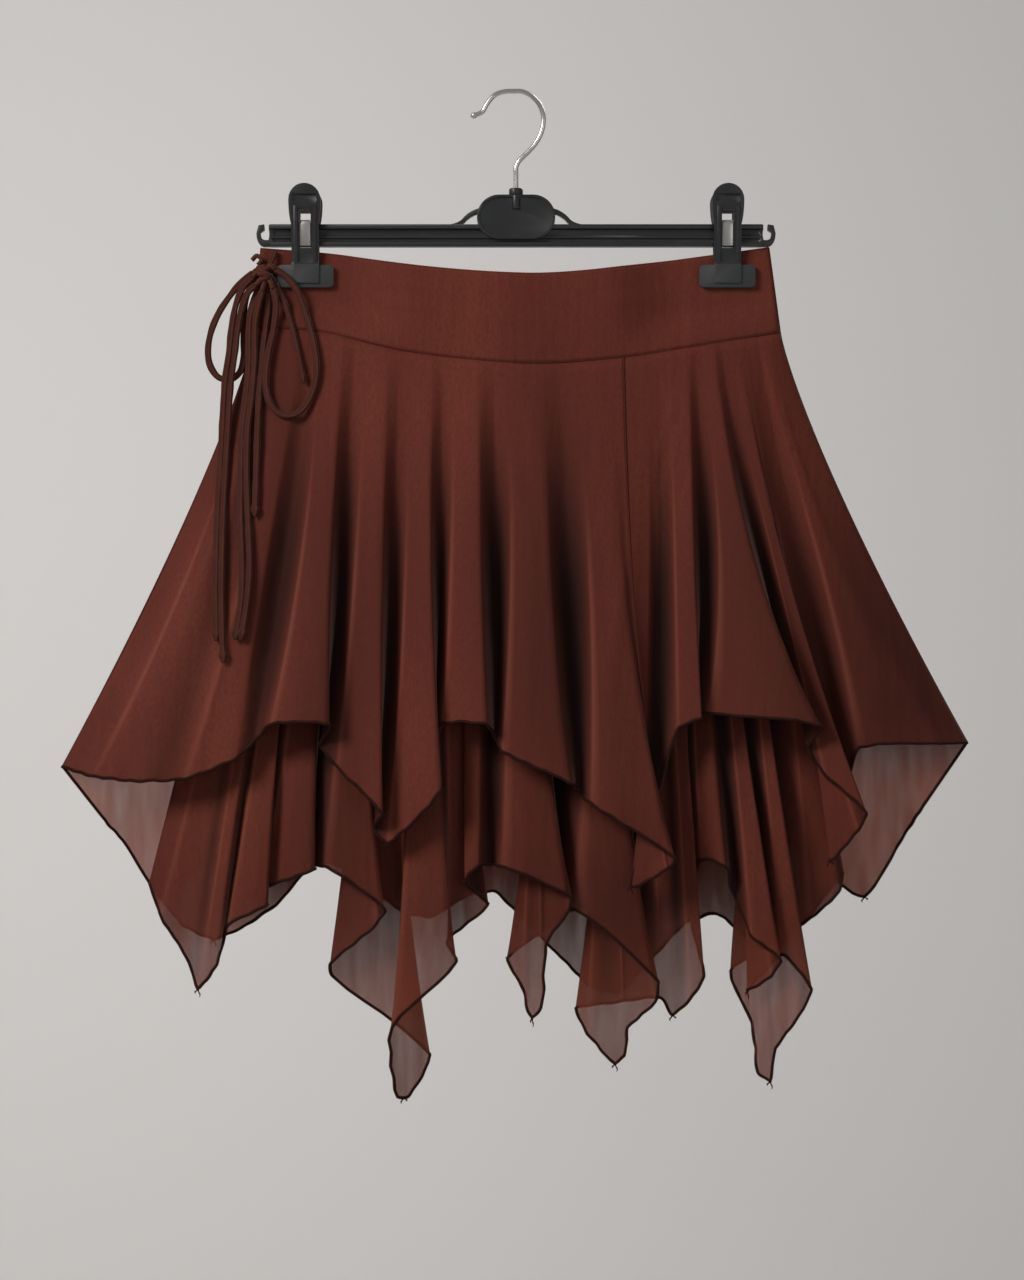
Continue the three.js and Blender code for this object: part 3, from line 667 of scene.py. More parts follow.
def tie_knot():
    """The knot: its core, the cord's turns and crossing, a small loop, and the cords' inner ends."""
    firm = KNOT_RADIUS * 0.95
    crossing = [(-0.0042, -0.002, 0.0048), (-0.001, -0.0042, 0.0016), (0.0022, -0.0042, -0.0016),
                (0.0042, -0.0018, -0.0046)]
    core = [(0, 0, height) for height in (0.0062, 0.004, 0, -0.004, -0.0062)]
    ring = [(-0.0086, 0.002, 0.0098), (-0.0052, 0.0012, 0.0128), (-0.0018, 0.0006, 0.0098),
            (-0.0044, 0.0006, 0.0062)]
    around = [
        (knot_wrap(0.0042, 0.0034, 0.0028, 0.25), firm),
        (knot_wrap(0.0043, 0.0036, -0.0006, -0.18), KNOT_RADIUS),
        (knot_wrap(0.004, 0.0033, -0.0038, 0.3), firm),
        (smooth_through(crossing, 5), firm),
        (smooth_through(core, 3), 0.0032),
        (smooth_through(ring, 6), KNOT_RADIUS * 0.9),
    ]
    lines = [(knot_centre + line, radius) for line, radius in around]
    for name, points in tie_routes.items():
        line = smooth_through(points, 5)
        inward = [(line[0], line[2])]
        if name in tie_loops:
            inward.append((line[-1], line[-3]))
        for end, before in inward:
            reach = end + unit(end - before) * KNOT_REACH
            inner = reach * 0.55 + knot_centre * 0.45
            lines.append((smooth_through([end, reach, inner], 4), KNOT_RADIUS))
    placed(tubes("tie_knot_cloth", lines, tie_cloth, 12), "tie_cord", "tie_knot")


tie_cords()
tie_knot()


# Hanger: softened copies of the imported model's own moulded parts

WELD_REACH = 0.00001
ROUNDED_ABOVE = math.radians(32)
SHARP_ABOVE = math.radians(38)
HOOK_RADIUS = 0.0017
HOOK_BALL_RADIUS = 0.0023


def softened(node, name, material, slot, width):
    """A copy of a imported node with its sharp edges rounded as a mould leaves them."""
    piece = link(name, frame["nodes"][node].data.copy())
    piece.data.materials.clear()
    piece.data.materials.append(material)
    weld = piece.modifiers.new("weld", "WELD")
    weld.merge_threshold = WELD_REACH
    edge = piece.modifiers.new("edge", "BEVEL")
    edge.width = width * MM
    edge.segments = 2
    edge.limit_method = "ANGLE"
    edge.angle_limit = ROUNDED_ABOVE
    made(piece)
    piece.data.set_sharp_from_angle(angle=SHARP_ABOVE)
    placed(piece, slot, node)


def build_hook():
    """The hook's wire with the ball at its tip, from a route of x and height in millimetres."""
    route = [
        (-29.1, -15.3), (-23.4, -12.8), (-20, -7.2), (-14.4, -0.9), (-7.4, 1.5), (-1.7, 1.7),
        (4.5, 1.5), (10.9, -1.6), (17.2, -8.6), (19.6, -17.7), (17.9, -27.5), (13.7, -35.2),
        (8.1, -41.5), (2.5, -47.1), (0.4, -51.3), (0.3, -58), (0.3, -71),
    ]
    wire = smooth_through(np.array([(x, 0, z) for x, z in route]) * MM, 8)
    heading = unit(wire[0] - wire[1])
    angles = np.linspace(0, math.pi, 13)
    ball = [wire[0] - heading * math.cos(angle) * HOOK_BALL_RADIUS for angle in angles]
    ball_radii = np.maximum(np.sin(angles) * HOOK_BALL_RADIUS, 0.00002)
    hook = tubes("steel_hook", [(wire, HOOK_RADIUS), (ball, ball_radii)], hook_steel, 20)
    placed(hook, "hook_steel", "hook_wire")


build_hook()
softened("hanger_bar", "hanger_bar_plastic", bar_plastic, "hanger_plastic", 0.35)
softened("hook_collar", "hook_collar_plastic", bar_plastic, "hanger_plastic", 0.3)
for end in ("left", "right"):
    for face in ("front", "back"):
        softened(f"clip_{end}_{face}", f"clip_{end}_{face}_lever", clip_plastic, "clip_plastic", 0.4)
    softened(f"clip_{end}_spring", f"clip_{end}_spring_steel", spring_steel, "spring_steel", 0.18)


# Cloth tables, in millimetres. Lines across the skirt as (x, height).

SIDE_DEPTH = 0.65
YOKE_BOW = 11
LAYER_STEP = 2
SPREAD_POWER = 1.22
DEPTH_POWER = 0.85
WIDEN_POWER = 2.8
CRISPNESS = 0.5
# How wide the painted shade of a valley spreads, with the push that goes with it.
VALLEY_SHADE_AND_DEPTH_POWER = 2.2
# The width of the painted shade, and its push, along a crease.
CREASE_WIDTH = 0.32  # this and the next in steps from one fold line to the next
# The width of the painted highlight along a fold edge.
PAINTED_HIGHLIGHT_WIDTH = 0.06
NARROW_VALLEY = 8
TUCK = 7
LOWER_INSET = 7
PANEL_SEAM_X = 76
CLIP_CENTRES = (-147, 148)
PAD_HALF_WIDTH = 19.6
# The lengths of the cloth's waves and how far up from the hem its short ones reach.
SLOW_WAVE = 21
QUICK_WAVE = 8.3
RIPPLE_WAVE = 3.6
RIPPLE_REACH = 9
SCALLOP_WAVE = 2.3
SCALLOP_REACH = 6
SCALLOP_SHARE = 0.45

waist_line = [
    (-178, -108.5), (-125, -113), (-65, -122), (6, -127), (49, -125), (100, -118.5), (177, -108),
]
yoke_seam = [
    (-181, -163), (-136, -167), (-74, -181), (8, -189), (75, -185), (132, -176), (185, -167),
]
SEAM_LEFT = yoke_seam[0][0]
SEAM_RIGHT = yoke_seam[-1][0]

# Each row is a stretch of hem on a fold: where it leaves the yoke; x, height and stand from the
# middle plane at its start and its end; and the stand of the valley that follows, or None.
fold_columns = ("seam", "from_x", "from_z", "from_out", "to_x", "to_z", "to_out", "dip")
upper_front_folds = [
    (-172, -294, -477, 15, -263, -480, 24, None),
    (-156, -228, -478, 30, -193, -464, 32, 26),
    (-128, -168, -440, 38, -128, -440, 45, 27),
    (-97, -123, -470, 31, -91, -502, 45, 28),
    (-66, -89, -523, 32, -51, -485, 45, 27),
    (-36, -50, -440, 31, -20, -440, 46, 27),
    (6, -9, -459, 36, 37, -480, 43, 28),
    (56, 52, -495, 37, 109, -532, 46, None),
    (84, 104, -540, 41, 79, -553, 33, 28),
    (116, 112, -443, 33, 128, -436, 41, 27),
    (134, 133, -433, 31, 209, -441, 47, 28),
    (152, 213, -475, 31, 241, -501, 41, None),
    (163, 236, -513, 35, 217, -536, 25, 16),
    (175, 238, -457, 22, 296, -454, 18, None),
]
lower_front_folds = [
    (-168, -248, -574, 8, -228, -604, 14, None),
    (-161, -220, -624, 20, -208, -609, 24, 14),
    (-150, -200, -580, 20, -171, -565, 25, 12),
    (-133, -176, -555, 15, -139, -541, 26, 12),
    (-114, -132, -539, 22, -91, -568, 26, None),
    (-104, -96, -579, 21, -129, -608, 12, None),
    (-91, -127, -618, 3, -60, -672, 2, None),
    (-80, -74, -700, 8, -82, -701, 13, None),
    (-66, -86, -651, 22, -41, -605, 28, None),
    (-50, -47, -591, 17, -19, -567, 8, None),
    (-34, -35, -550, 20, -26, -538, 27, 12),
    (-6, -9, -539, 22, 39, -560, 27, None),
    (10, 38, -568, 22, 21, -594, 15, None),
    (20, 18, -638, 13, 11, -646, 11, None),
    (30, 5, -625, 5, -6, -605, 2, 0),
    (48, 41, -569, 20, 99, -619, 26, None),
    (60, 97, -633, 22, 78, -652, 15, None),
    (69, 76, -671, 14, 69, -677, 12, None),
    (78, 50, -657, 5, 42, -640, 2, 0),
    (92, 101, -631, 12, 109, -643, 14, None),
    (102, 121, -632, 17, 131, -615, 20, 9),
    (117, 129, -535, 12, 144, -538, 25, 12),
    (132, 163, -587, 22, 183, -603, 28, None),
    (140, 177, -615, 24, 161, -626, 16, 12),
    (149, 185, -600, 19, 205, -624, 24, None),
    (156, 196, -644, 20, 181, -667, 12, None),
    (162, 177, -690, 10, 169, -684, 7, None),
    (167, 165, -650, 3, 150, -614, 0, -2),
    (173, 206, -577, 3, 226, -558, 5, None),
]
# How dark the painted shade lies in each valley after its fold, which also pushes the valley in on
# the upper front: 1 is deep between folds that nearly meet.
upper_front_valleys = (0.35, 0.8, 1, 1, 1, 1, 1, 0.3, 1, 1, 1, 0.6, 0.5, 0)
lower_front_valleys = (
    0.5, 0.7, 0.95, 1, 1, 0.4, 0.3, 0.4, 0.8, 1, 1, 0.8, 0.5, 0.3, 1, 0.8, 0.4, 0.4, 1,
    0.8, 1, 1, 0.8, 1, 0.8, 0.4, 0.4, 0.8, 0.3,
)
upper_sides = ((-317, -471), (316, -454))
lower_sides = ((-256, -553), (229, -545))
upper_back_hem = [
    (-317, -471), (-271, -531), (-245, -567), (-209, -520), (-118, -475), (-40, -458), (5, -472),
    (68, -452), (150, -487), (211, -540), (250, -563), (280, -508), (316, -454),
]
lower_back_hem = [
    (-256, -553), (-219, -592), (-165, -566), (-137, -536), (-67, -578), (-19, -558), (30, -604),
    (68, -632), (110, -590), (140, -574), (180, -600), (229, -545),
]

# Creases, given one by one: x and height at the top and at the bottom, half width, and rise,
# which is below 0 for a hollow.
upper_creases = [
    (-196, -360, -224, -472, 5, 1.6),
    (-212, -300, -262, -452, 7, 1.2),
    (-238, -330, -286, -458, 6, -1.0),
    (76, -330, 63, -430, 3.5, 1.5),
    (88, -380, 97, -520, 4, 1.0),
    (96, -300, 110, -500, 6, -1.1),
    (22, -260, 30, -420, 6, 0.9),
    (168, -250, 190, -420, 4, 1.2),
    (196, -280, 226, -470, 5, -1.2),
    (120, -210, 126, -330, 5, 0.8),
    (228, -330, 262, -440, 6, 1.1),
    (-150, -210, -160, -330, 6, -0.8),
    (-104, -230, -110, -400, 4, 0.8),
    (-40, -240, -38, -380, 5, 0.8),
    (2, -210, 8, -300, 7, -0.7),
    (118, -226, 100, -290, 2.4, 0.7),
    (125, -242, 106, -308, 2.4, -0.6),
    (111, -216, 96, -264, 2.2, 0.6),
]
back_creases = [
    (-150, -215, -214, -430, 8, 1.6),
    (-92, -240, -120, -440, 9, 1.2),
    (-60, -205, -66, -330, 6, -1.0),
    (-22, -260, -36, -450, 8, 1.5),
    (28, -215, 30, -390, 7, 1.0),
    (64, -280, 84, -440, 9, -1.3),
    (104, -225, 142, -450, 8, 1.5),
    (150, -230, 212, -430, 7, 1.2),
    (-190, -330, -236, -500, 7, 1.3),
    (190, -320, 246, -500, 8, 1.3),
]
yoke_creases = [
    (-118, -142, -60, -152, 5, 0.5),
    (-110, -128, -40, -140, 4, 0.35),
    (60, -146, 118, -136, 5, 0.5),
    (40, -138, 112, -126, 4, 0.3),
    (-30, -158, 40, -161, 6, 0.35),
]


# Cloth forms, in millimetres


def line_height(line, x):
    """The height of a smooth line at x."""
    xs, zs = (np.array(column, float) for column in zip(*line))
    last = len(xs) - 1
    before = np.maximum(np.arange(last + 1) - 1, 0)
    after = np.minimum(np.arange(last + 1) + 1, last)
    slopes = (zs[after] - zs[before]) / (xs[after] - xs[before])
    i = np.clip(np.searchsorted(xs, x) - 1, 0, last - 1)
    width = xs[i + 1] - xs[i]
    t = np.clip((x - xs[i]) / width, 0, 1)
    return eased_between(t, zs[i], slopes[i] * width, zs[i + 1], slopes[i + 1] * width)


def yoke_depth(across, down):
    """How far the yoke stands from the middle plane: bowed out, and pressed flat in the clips."""
    middle = (SEAM_LEFT + SEAM_RIGHT) / 2
    half = (SEAM_RIGHT - SEAM_LEFT) / 2
    x = SEAM_LEFT + across * (SEAM_RIGHT - SEAM_LEFT)
    bow = np.sqrt(np.maximum(0, 1 - ((x - middle) / half) ** 2))
    distance = np.minimum(np.abs(x - CLIP_CENTRES[0]), np.abs(x - CLIP_CENTRES[1]))
    pressed = 1 - ease(PAD_HALF_WIDTH + 9, PAD_HALF_WIDTH + 60, distance)
    free = 1 - pressed * (1 - ease(0.55, 1, down))
    return SIDE_DEPTH + YOKE_BOW * bow * free


def yoke_grid(side):
    """The middle surface of the yoke as grid[row][column], from the waist to the seam."""
    columns, rows = np.linspace(0, 1, 150), np.linspace(0, 1, 26)
    down, across = np.meshgrid(rows, columns, indexing="ij")
    top_x = waist_line[0][0] + across * (waist_line[-1][0] - waist_line[0][0])
    seam_x = SEAM_LEFT + across * (SEAM_RIGHT - SEAM_LEFT)
    top = line_height(waist_line, top_x)
    bottom = line_height(yoke_seam, seam_x) - 0.1
    x = top_x + (seam_x - top_x) * down
    z = top + (bottom - top) * down
    return np.stack([x, side * yoke_depth(across, down), z], axis=-1)


def fold_lines(rows, valleys, sides, inset):
    """Each fold line as (place on the yoke seam, hem x, hem height, stand from the middle plane,
    how far its fold's middle flares out, how much painted valley shade it has and how much
    painted fold-edge highlight it has)."""
    creases = []
    folds = [dict(zip(fold_columns, row)) for row in rows]
    (left_x, left_z), (right_x, right_z) = sides
    flares = [(fold["from_x"] + fold["to_x"]) / 2 - fold["seam"] for fold in folds]
    seams = [SEAM_LEFT + inset, *(fold["seam"] for fold in folds), SEAM_RIGHT - inset]
    lines = [(seams[0], left_x, left_z, SIDE_DEPTH, left_x - seams[0], 0.1, 0.1)]
    for i, fold in enumerate(folds):
        before, seam, after = seams[i : i + 3]
        flare = flares[i]
        from_seam, to_seam = seam - (seam - before) / 4, seam + (after - seam) / 4
        lines.append((from_seam, fold["from_x"], fold["from_z"], fold["from_out"], flare, 0.0, 1.0))
        lines.append((to_seam, fold["to_x"], fold["to_z"], fold["to_out"], flare, 0.12, 0.0))
        if fold["dip"] is None:
            creases.append((len(lines) - 0.5, valleys[i]))
            continue
        following = folds[i + 1]
        end, start = fold["to_x"], following["from_x"]
        tucked = fold["from_x"] < end and start - end < NARROW_VALLEY
        hem = min(end, start) - TUCK if tucked else (end + start) / 2
        height = (fold["to_z"] + following["from_z"]) / 2
        valley_flare = (flare + flares[i + 1]) / 2
        middle = (seam + after) / 2
        lines.append((middle, hem, height, fold["dip"], valley_flare, valleys[i], 0.0))
    lines.append((seams[-1], right_x, right_z, SIDE_DEPTH, right_x - seams[-1], 0.1, 0.0))
    return lines, creases


def even_fold_lines(hem_line, flutes, ridge, valley, inset):
    """The fold lines of a back layer, whose flutes are nearly even. ridge and valley are how far
    they stand from the middle plane."""
    left, right = hem_line[0][0], hem_line[-1][0]
    lines = []
    steps = flutes * 3
    for i in range(steps + 1):
        share = i / steps
        sway = 0 if i % 3 == 0 else 0.012 * math.sin(i * 2.1)
        hem = left + (share + sway) * (right - left)
        near_side = float(ease(0, 0.16, min(share, 1 - share)))
        out = (valley if i % 3 == 0 else ridge + 2 * math.sin(i)) * near_side
        seam = SEAM_LEFT + inset + share * (SEAM_RIGHT - SEAM_LEFT - 2 * inset)
        # Painted shade in each valley and a painted highlight on each fold edge.
        hollow = (0.8 if i % 3 == 0 else 0.05) * near_side
        crest = (0.6 if i % 3 == 1 else 0.0) * near_side
        height = float(line_height(hem_line, hem))
        lines.append((seam, hem, height, max(SIDE_DEPTH, out), hem - seam, hollow, crest))
    return lines, []


def layer_grid(folds, side, inward, rows, per_span, push):
    """The middle surface of a flared layer as grid[row][column], rows crowded towards the hem, with
    the painted shade of its valleys, which also pushes them in, and the painted highlight of its
    fold edges, at each point."""
    lines, creases = folds
    seams, hem_x, hem_z, hem_out, flares, valley_shades_and_depths, painted_highlights = np.array(lines, float).T
    corners = np.stack([hem_x, side * hem_out, hem_z], axis=-1)
    curved = smooth_through(corners, per_span)
    order = np.arange(len(lines))
    places = np.linspace(0, order[-1], len(curved))
    hem = curved + (read_along(places, order, corners) - curved) * CRISPNESS
    seam_x, flare = np.interp(places, order, seams), np.interp(places, order, flares)
    across = (seam_x - SEAM_LEFT) / (SEAM_RIGHT - SEAM_LEFT)
    depth = np.maximum(SIDE_DEPTH, yoke_depth(across, 1.0) - inward)
    start = np.stack([seam_x, side * depth, line_height(yoke_seam, seam_x) - 0.2], axis=-1)
    share = np.linspace(0, 1, rows)
    down = (share * (1.5 - 0.5 * share**2))[:, None]
    widening = hem[:, 0] - start[:, 0] - flare
    grid = np.empty((rows, len(hem), 3))
    grid[..., 0] = start[:, 0] + flare * down**SPREAD_POWER + widening * down**WIDEN_POWER
    grid[..., 1] = start[:, 1] + (hem[:, 1] - start[:, 1]) * down**DEPTH_POWER
    grid[..., 2] = start[:, 2] + (hem[:, 2] - start[:, 2]) * down
    # Painted shade in the valleys and along the creases, and a painted highlight on the fold edges.
    nearest = np.abs(places[:, None] - order)
    tent = np.clip(1 - nearest, 0, 1)
    hollow = (1 - (1 - tent) ** VALLEY_SHADE_AND_DEPTH_POWER) @ valley_shades_and_depths
    for middle, depth in creases:
        hollow += depth * np.exp(-(((places - middle) / CREASE_WIDTH) ** 2))
    crest = np.exp(-((nearest / PAINTED_HIGHLIGHT_WIDTH) ** 2)) @ painted_highlights
    reach = ease(0.08, 0.6, down) * (1 - 0.15 * ease(0.88, 1, down))
    hollow = np.clip(hollow, 0, 1) * reach
    crest = np.clip(crest, 0, 1) * ease(0.22, 0.6, down) * (1 - 0.4 * ease(0.85, 1, down))
    grid[..., 1] -= side * hollow * push * (1 - ease(0.72, 0.97, down))
    return grid, hollow, crest


def facings(grid, side):
    """Which way the outside of the cloth looks at each point."""
    normal = np.cross(np.gradient(grid, axis=1), np.gradient(grid, axis=0))
    length = np.linalg.norm(normal, axis=2, keepdims=True)
    return side * normal / np.maximum(length, 1e-9)


def creased(grid, side, table):
    """The cloth with its listed creases raised out of it."""
    for top_x, top_z, bottom_x, bottom_z, half_width, rise in table:
        top = np.array([top_x, top_z], float)
        run = np.array([bottom_x, bottom_z], float) - top
        offset = grid[..., [0, 2]] - top
        share = (offset @ run) / (run @ run)
        gap = np.linalg.norm(offset - share[..., None] * run, axis=2)
        fade = ease(-0.15, 0.3, share) * (1 - ease(0.75, 1.1, share))
        grid[..., 1] += side * rise * fade * np.exp(-((gap / half_width) ** 2))
    return grid


def rumpled(grid, side, wave, lettuce, phase):
    """Soft uneven waves down the cloth, and the short waves of a stretched rolled hem."""
    down = distances(grid)
    length = down[-1]
    from_hem = length - down
    share = down / np.maximum(length, 1e-9)
    width = distances(grid, axis=1)[-1]
    slow = np.sin(width / SLOW_WAVE + 2.2 * np.sin(width / 97 + phase) + share * 2.4 + phase)
    quick = np.sin(width / QUICK_WAVE + 1.7 * np.sin(width / 61 - phase) - share * 3.1)
    body = (0.7 * slow + 0.3 * quick) * ease(0.08, 0.6, share) * wave
    unevenness = 0.55 + 0.45 * np.sin(width / 47 + 3 * phase)
    ripple = np.sin(width / RIPPLE_WAVE + 2.4 * np.sin(width / 33 + phase)) * unevenness
    edge = ripple * np.exp(-from_hem / RIPPLE_REACH) * lettuce
    edges = np.minimum(np.arange(grid.shape[1]), np.arange(grid.shape[1])[::-1])
    calm = ease(0, 5, edges.astype(float))
    scallop = np.sin(width / SCALLOP_WAVE + 2 * np.sin(width / 29 - phase))
    scallop = scallop * np.exp(-from_hem / SCALLOP_REACH)
    waved = grid + facings(grid, side) * ((body + edge) * calm)[..., None]
    waved[..., 2] += scallop * calm * lettuce * SCALLOP_SHARE
    return waved


def cloth_piece(name, grid, side, material, thickness, **shades):
    """A thin shell of cloth about a grid of points in millimetres. Shades are numbers for its
    finish, at each point."""
    rows, columns = grid.shape[:2]
    index = np.arange(rows * columns).reshape(rows, columns)
    corners = (index[:-1, :-1], index[1:, :-1], index[1:, 1:], index[:-1, 1:])
    if side > 0:
        corners = corners[::-1]
    faces = np.stack(corners, axis=-1).reshape(-1, 4)
    piece = shape(name, (grid.reshape(-1, 3) * MM).tolist(), faces.tolist(), material)
    across = np.broadcast_to(distances(grid, axis=1)[-1], (rows, columns))
    lay_map(piece.data, np.stack([across, distances(grid)], axis=-1).reshape(-1, 2) * MM)
    for shade, amount in shades.items():
        attribute = piece.data.attributes.new(shade, "FLOAT", "POINT")
        attribute.data.foreach_set("value", amount.ravel().astype(np.float32))
    wall = piece.modifiers.new("wall", "SOLIDIFY")
    wall.thickness = thickness * MM
    wall.offset = 0
    return made(piece)


# Edges: rolled hems and seams with their stitches, by Geometry Nodes


EDGE_INPUTS = {
    "Line": ("NodeSocketGeometry", None),
    "Roll radius": ("NodeSocketFloat", 0.0009),
    "Thread radius": ("NodeSocketFloat", 0.00028),
    "Stitch spacing": ("NodeSocketFloat", 0.0016),
    "Lean": ("NodeSocketFloat", 0.35),
    "Thread": ("NodeSocketMaterial", None),
}
# Each edge's roll radius, thread radius and stitch spacing, in millimetres.
EDGE_SIZES = {
    "hem": (1.05, 0.26, 1.5),
    "yoke seam": (0.5, 0.16, 1.7),
    "waist": (0.62, 0.12, 2.4),
    "panel seam": (0.55, 0.16, 2.0),
    "side seam": (0.75, 0.14, 1.9),
}
ROLL_STEP = 0.0016
TAIL_RADII = (1.25, 1.05, 0.9, 0.55, 0.42, 0.5, 0.62, 0.5, 0.4, 0.36, 0.34, 0.3, 0.26)


def stitched_edge_tree():
    """A rolled edge along a line of mesh edges, with a thread wrapped round it at every stitch."""
    tree = bpy.data.node_groups.new("stitched_edge", "GeometryNodeTree")
    names = {}
    for name, (kind, value) in EDGE_INPUTS.items():
        socket = tree.interface.new_socket(name, in_out="INPUT", socket_type=kind)
        if value is not None:
            socket.default_value = value
        names[name] = socket.identifier
    tree.interface.new_socket("Edge", in_out="OUTPUT", socket_type="NodeSocketGeometry")
    given = tree.nodes.new("NodeGroupInput").outputs
    mesh, roll_radius, thread_radius, spacing, lean, thread = (
        Value(tree, given[name]) for name in EDGE_INPUTS
    )

    def add(kind, settings=None, **sockets):
        return add_node(tree, kind, settings, **sockets)

    def spaced(line, length):
        return add("GeometryNodeResampleCurve", {"mode": "LENGTH"}, Curve=line, Length=length)

    def circle(sides, radius):
        return add("GeometryNodeCurvePrimitiveCircle", Resolution=sides, Radius=radius)

    line = add("GeometryNodeMeshToCurve", Mesh=mesh)
    roll = add(
        "GeometryNodeCurveToMesh",
        Curve=spaced(line, ROLL_STEP),
        Profile_Curve=circle(7, roll_radius),
        Fill_Caps=True,
    )
    wrap = add(
        "GeometryNodeCurveToMesh",
        Curve=circle(8, roll_radius + thread_radius * 0.4),
        Profile_Curve=circle(3, thread_radius),
    )
    tangent = add("GeometryNodeInputTangent")
    facing = add("FunctionNodeAlignRotationToVector", {"axis": "Z"}, Vector=tangent)
    turn = add("FunctionNodeEulerToRotation", i0=add("ShaderNodeCombineXYZ", X=lean))
    leaned = add("FunctionNodeRotateRotation", {"rotation_space": "LOCAL"}, i0=facing, i1=turn)
    wraps = add(
        "GeometryNodeInstanceOnPoints",
        Points=spaced(line, spacing),
        Instance=wrap,
        Rotation=leaned,
    )
    both = add("GeometryNodeJoinGeometry", i0=roll)
    tree.links.new(wraps.socket, both.socket.node.inputs[0])
    real = add("GeometryNodeRealizeInstances", Geometry=both)
    coloured = add("GeometryNodeSetMaterial", Geometry=real, Material=thread)
    tree.links.new(coloured.socket, tree.nodes.new("NodeGroupOutput").inputs[0])
    return tree, names


edge_tree, edge_inputs = stitched_edge_tree()


def edge_piece(name, lines, kind, thread, tails=()):
    """A stitched edge along lines of points in millimetres, with loose thread tails."""
    vertices, edges = [], []
    for line in lines:
        start = len(vertices)
        vertices += (np.asarray(line, float) * MM).tolist()
        edges += [(start + i, start + i + 1) for i in range(len(line) - 1)]
    piece = shape(name, vertices, [], edges=edges)
    stitches = piece.modifiers.new("stitches", "NODES")
    stitches.node_group = edge_tree
    for size, value in zip(("Roll radius", "Thread radius", "Stitch spacing"), EDGE_SIZES[kind]):
        stitches[edge_inputs[size]] = value * MM
    stitches[edge_inputs["Thread"]] = thread
    made(piece)
    if tails:
        radii = np.array(TAIL_RADII) * MM
        threads = [(smooth_through(np.array(tail) * MM, 4), radii) for tail in tails]
        loose = tubes(name + "_tails", threads, thread, 6)
        together = {"active_object": piece, "selected_editable_objects": [piece, loose]}
        with bpy.context.temp_override(**together):
            bpy.ops.object.join()
    return piece


def thread_tail(point, sway, drop):
    """A loose thread end that hangs from a hem point, as points in millimetres."""
    x, y, z = point
    return [
        (x, y, z + 0.6),
        (x + sway * 0.4, y - 0.6, z - drop * 0.35),
        (x + sway, y - 0.2, z - drop * 0.7),
        (x + sway * 0.7, y + 0.3, z - drop),
    ]


# Building the skirt

FRONT, BACK = -1, 1
YOKE_THICKNESS = 0.9
SHEER_THICKNESS = 0.35
SHEER_COVER = 0.9
POINT_REACH = 9
POINT_DROP = 8


def graded(grid, top, bottom, start, end):
    """A value that goes from top to bottom between two depths below the hook's bend."""
    return top + (bottom - top) * ease(start, end, -grid[..., 2])


def lowest_points(line, below):
    """Where a hem comes to a point: its places that are lower than what is beside them."""
    heights = line[:, 2]
    found = []
    for i in range(POINT_REACH, len(heights) - POINT_REACH):
        beside = heights[i - POINT_REACH : i + POINT_REACH + 1]
        lowest = heights[i] == beside.min() and heights[i] < below
        if lowest and beside.max() - heights[i] > POINT_DROP:
            found.append(i)
    return found


def hem_piece(name, line, below):
    """A rolled hem with two loose thread ends at each of its points."""
    tails = []
    for count, i in enumerate(lowest_points(line, below)):
        sway, drop = ((1.6, 5.5), (-1.9, 4), (0.9, 6.5))[count % 3]
        tails += [thread_tail(line[i], sway, drop), thread_tail(line[i], -1.3 * sway, 0.55 * drop)]
    return placed(edge_piece(name, [line], "hem", hem_thread, tails), "hem_thread")


def seam_piece(name, lines, kind, thread=seam_thread):
    return placed(edge_piece(name, lines, kind, thread), "cloth")


def build_yoke():
    for side, word in ((FRONT, "front"), (BACK, "back")):
        grid = yoke_grid(side)
        grid = creased(grid, side, yoke_creases if side == FRONT else [])
        grid = rumpled(grid, side, wave=0.25, lettuce=0, phase=0.4 * side)
        cloth = cloth_piece(f"yoke_{word}_cloth", grid, side, yoke_cloth, YOKE_THICKNESS)
        placed(cloth, "cloth", f"yoke_{word}")
        seam_line, waist_edge = grid[-1] + (0, side * 0.1, -0.1), grid[0] + (0, 0, -0.1)
        seam = seam_piece(f"yoke_{word}_seam", [seam_line], "yoke seam")
        waist = seam_piece(f"waist_{word}_edge", [waist_edge], "waist", yoke_cloth)


def hung_piece(name, node, grid, side, below, flat, area, **shades):
    """One piece of a layer with its rolled hem, hung from the yoke on its side."""
    cloth = cloth_piece(f"{name}_cloth", grid, side, sheer_cloth, SHEER_THICKNESS, **shades)
    placed(cloth, "cloth", node)
    hem = hem_piece(f"{name}_hem", grid[-1], below)


def build_upper_front():
    folds = fold_lines(upper_front_folds, upper_front_valleys, upper_sides, inset=0)
    grid, hollow, crest = layer_grid(folds, FRONT, inward=0, rows=72, per_span=8, push=4.5)
    grid = creased(grid, FRONT, upper_creases)
    grid = rumpled(grid, FRONT, wave=0.7, lettuce=1.15, phase=0.3)
    corner = graded(grid, 0, 1, 330, 440) * ease(120, 260, np.abs(grid[..., 0]))
    thinner = np.maximum(corner, graded(grid, 0, 1, 400, 520))
    cover = CLOSED + (SHEER_COVER - CLOSED) * thinner
    cut = int(np.argmin(np.abs(grid[0, :, 0] - PANEL_SEAM_X)))
    halves = (
        ("left", np.s_[:, : cut + 1], (0.62, 0.4), 0.122),
        ("right", np.s_[:, cut:], (0.5, 0.4), 0.071),
    )
    # Both halves carry the painted valley shade and the painted fold-edge highlight.
    for word, part, flat, area in halves:
        hung_piece(
            f"upper_{word}", f"upper_front_{word}", grid[part], FRONT, -478, flat, area,
            cover=cover[part], hollow=hollow[part], crest=crest[part],
        )
    seam_piece("panel_seam", [grid[:, cut] + (0, -0.35, 0)], "panel seam")
    return grid


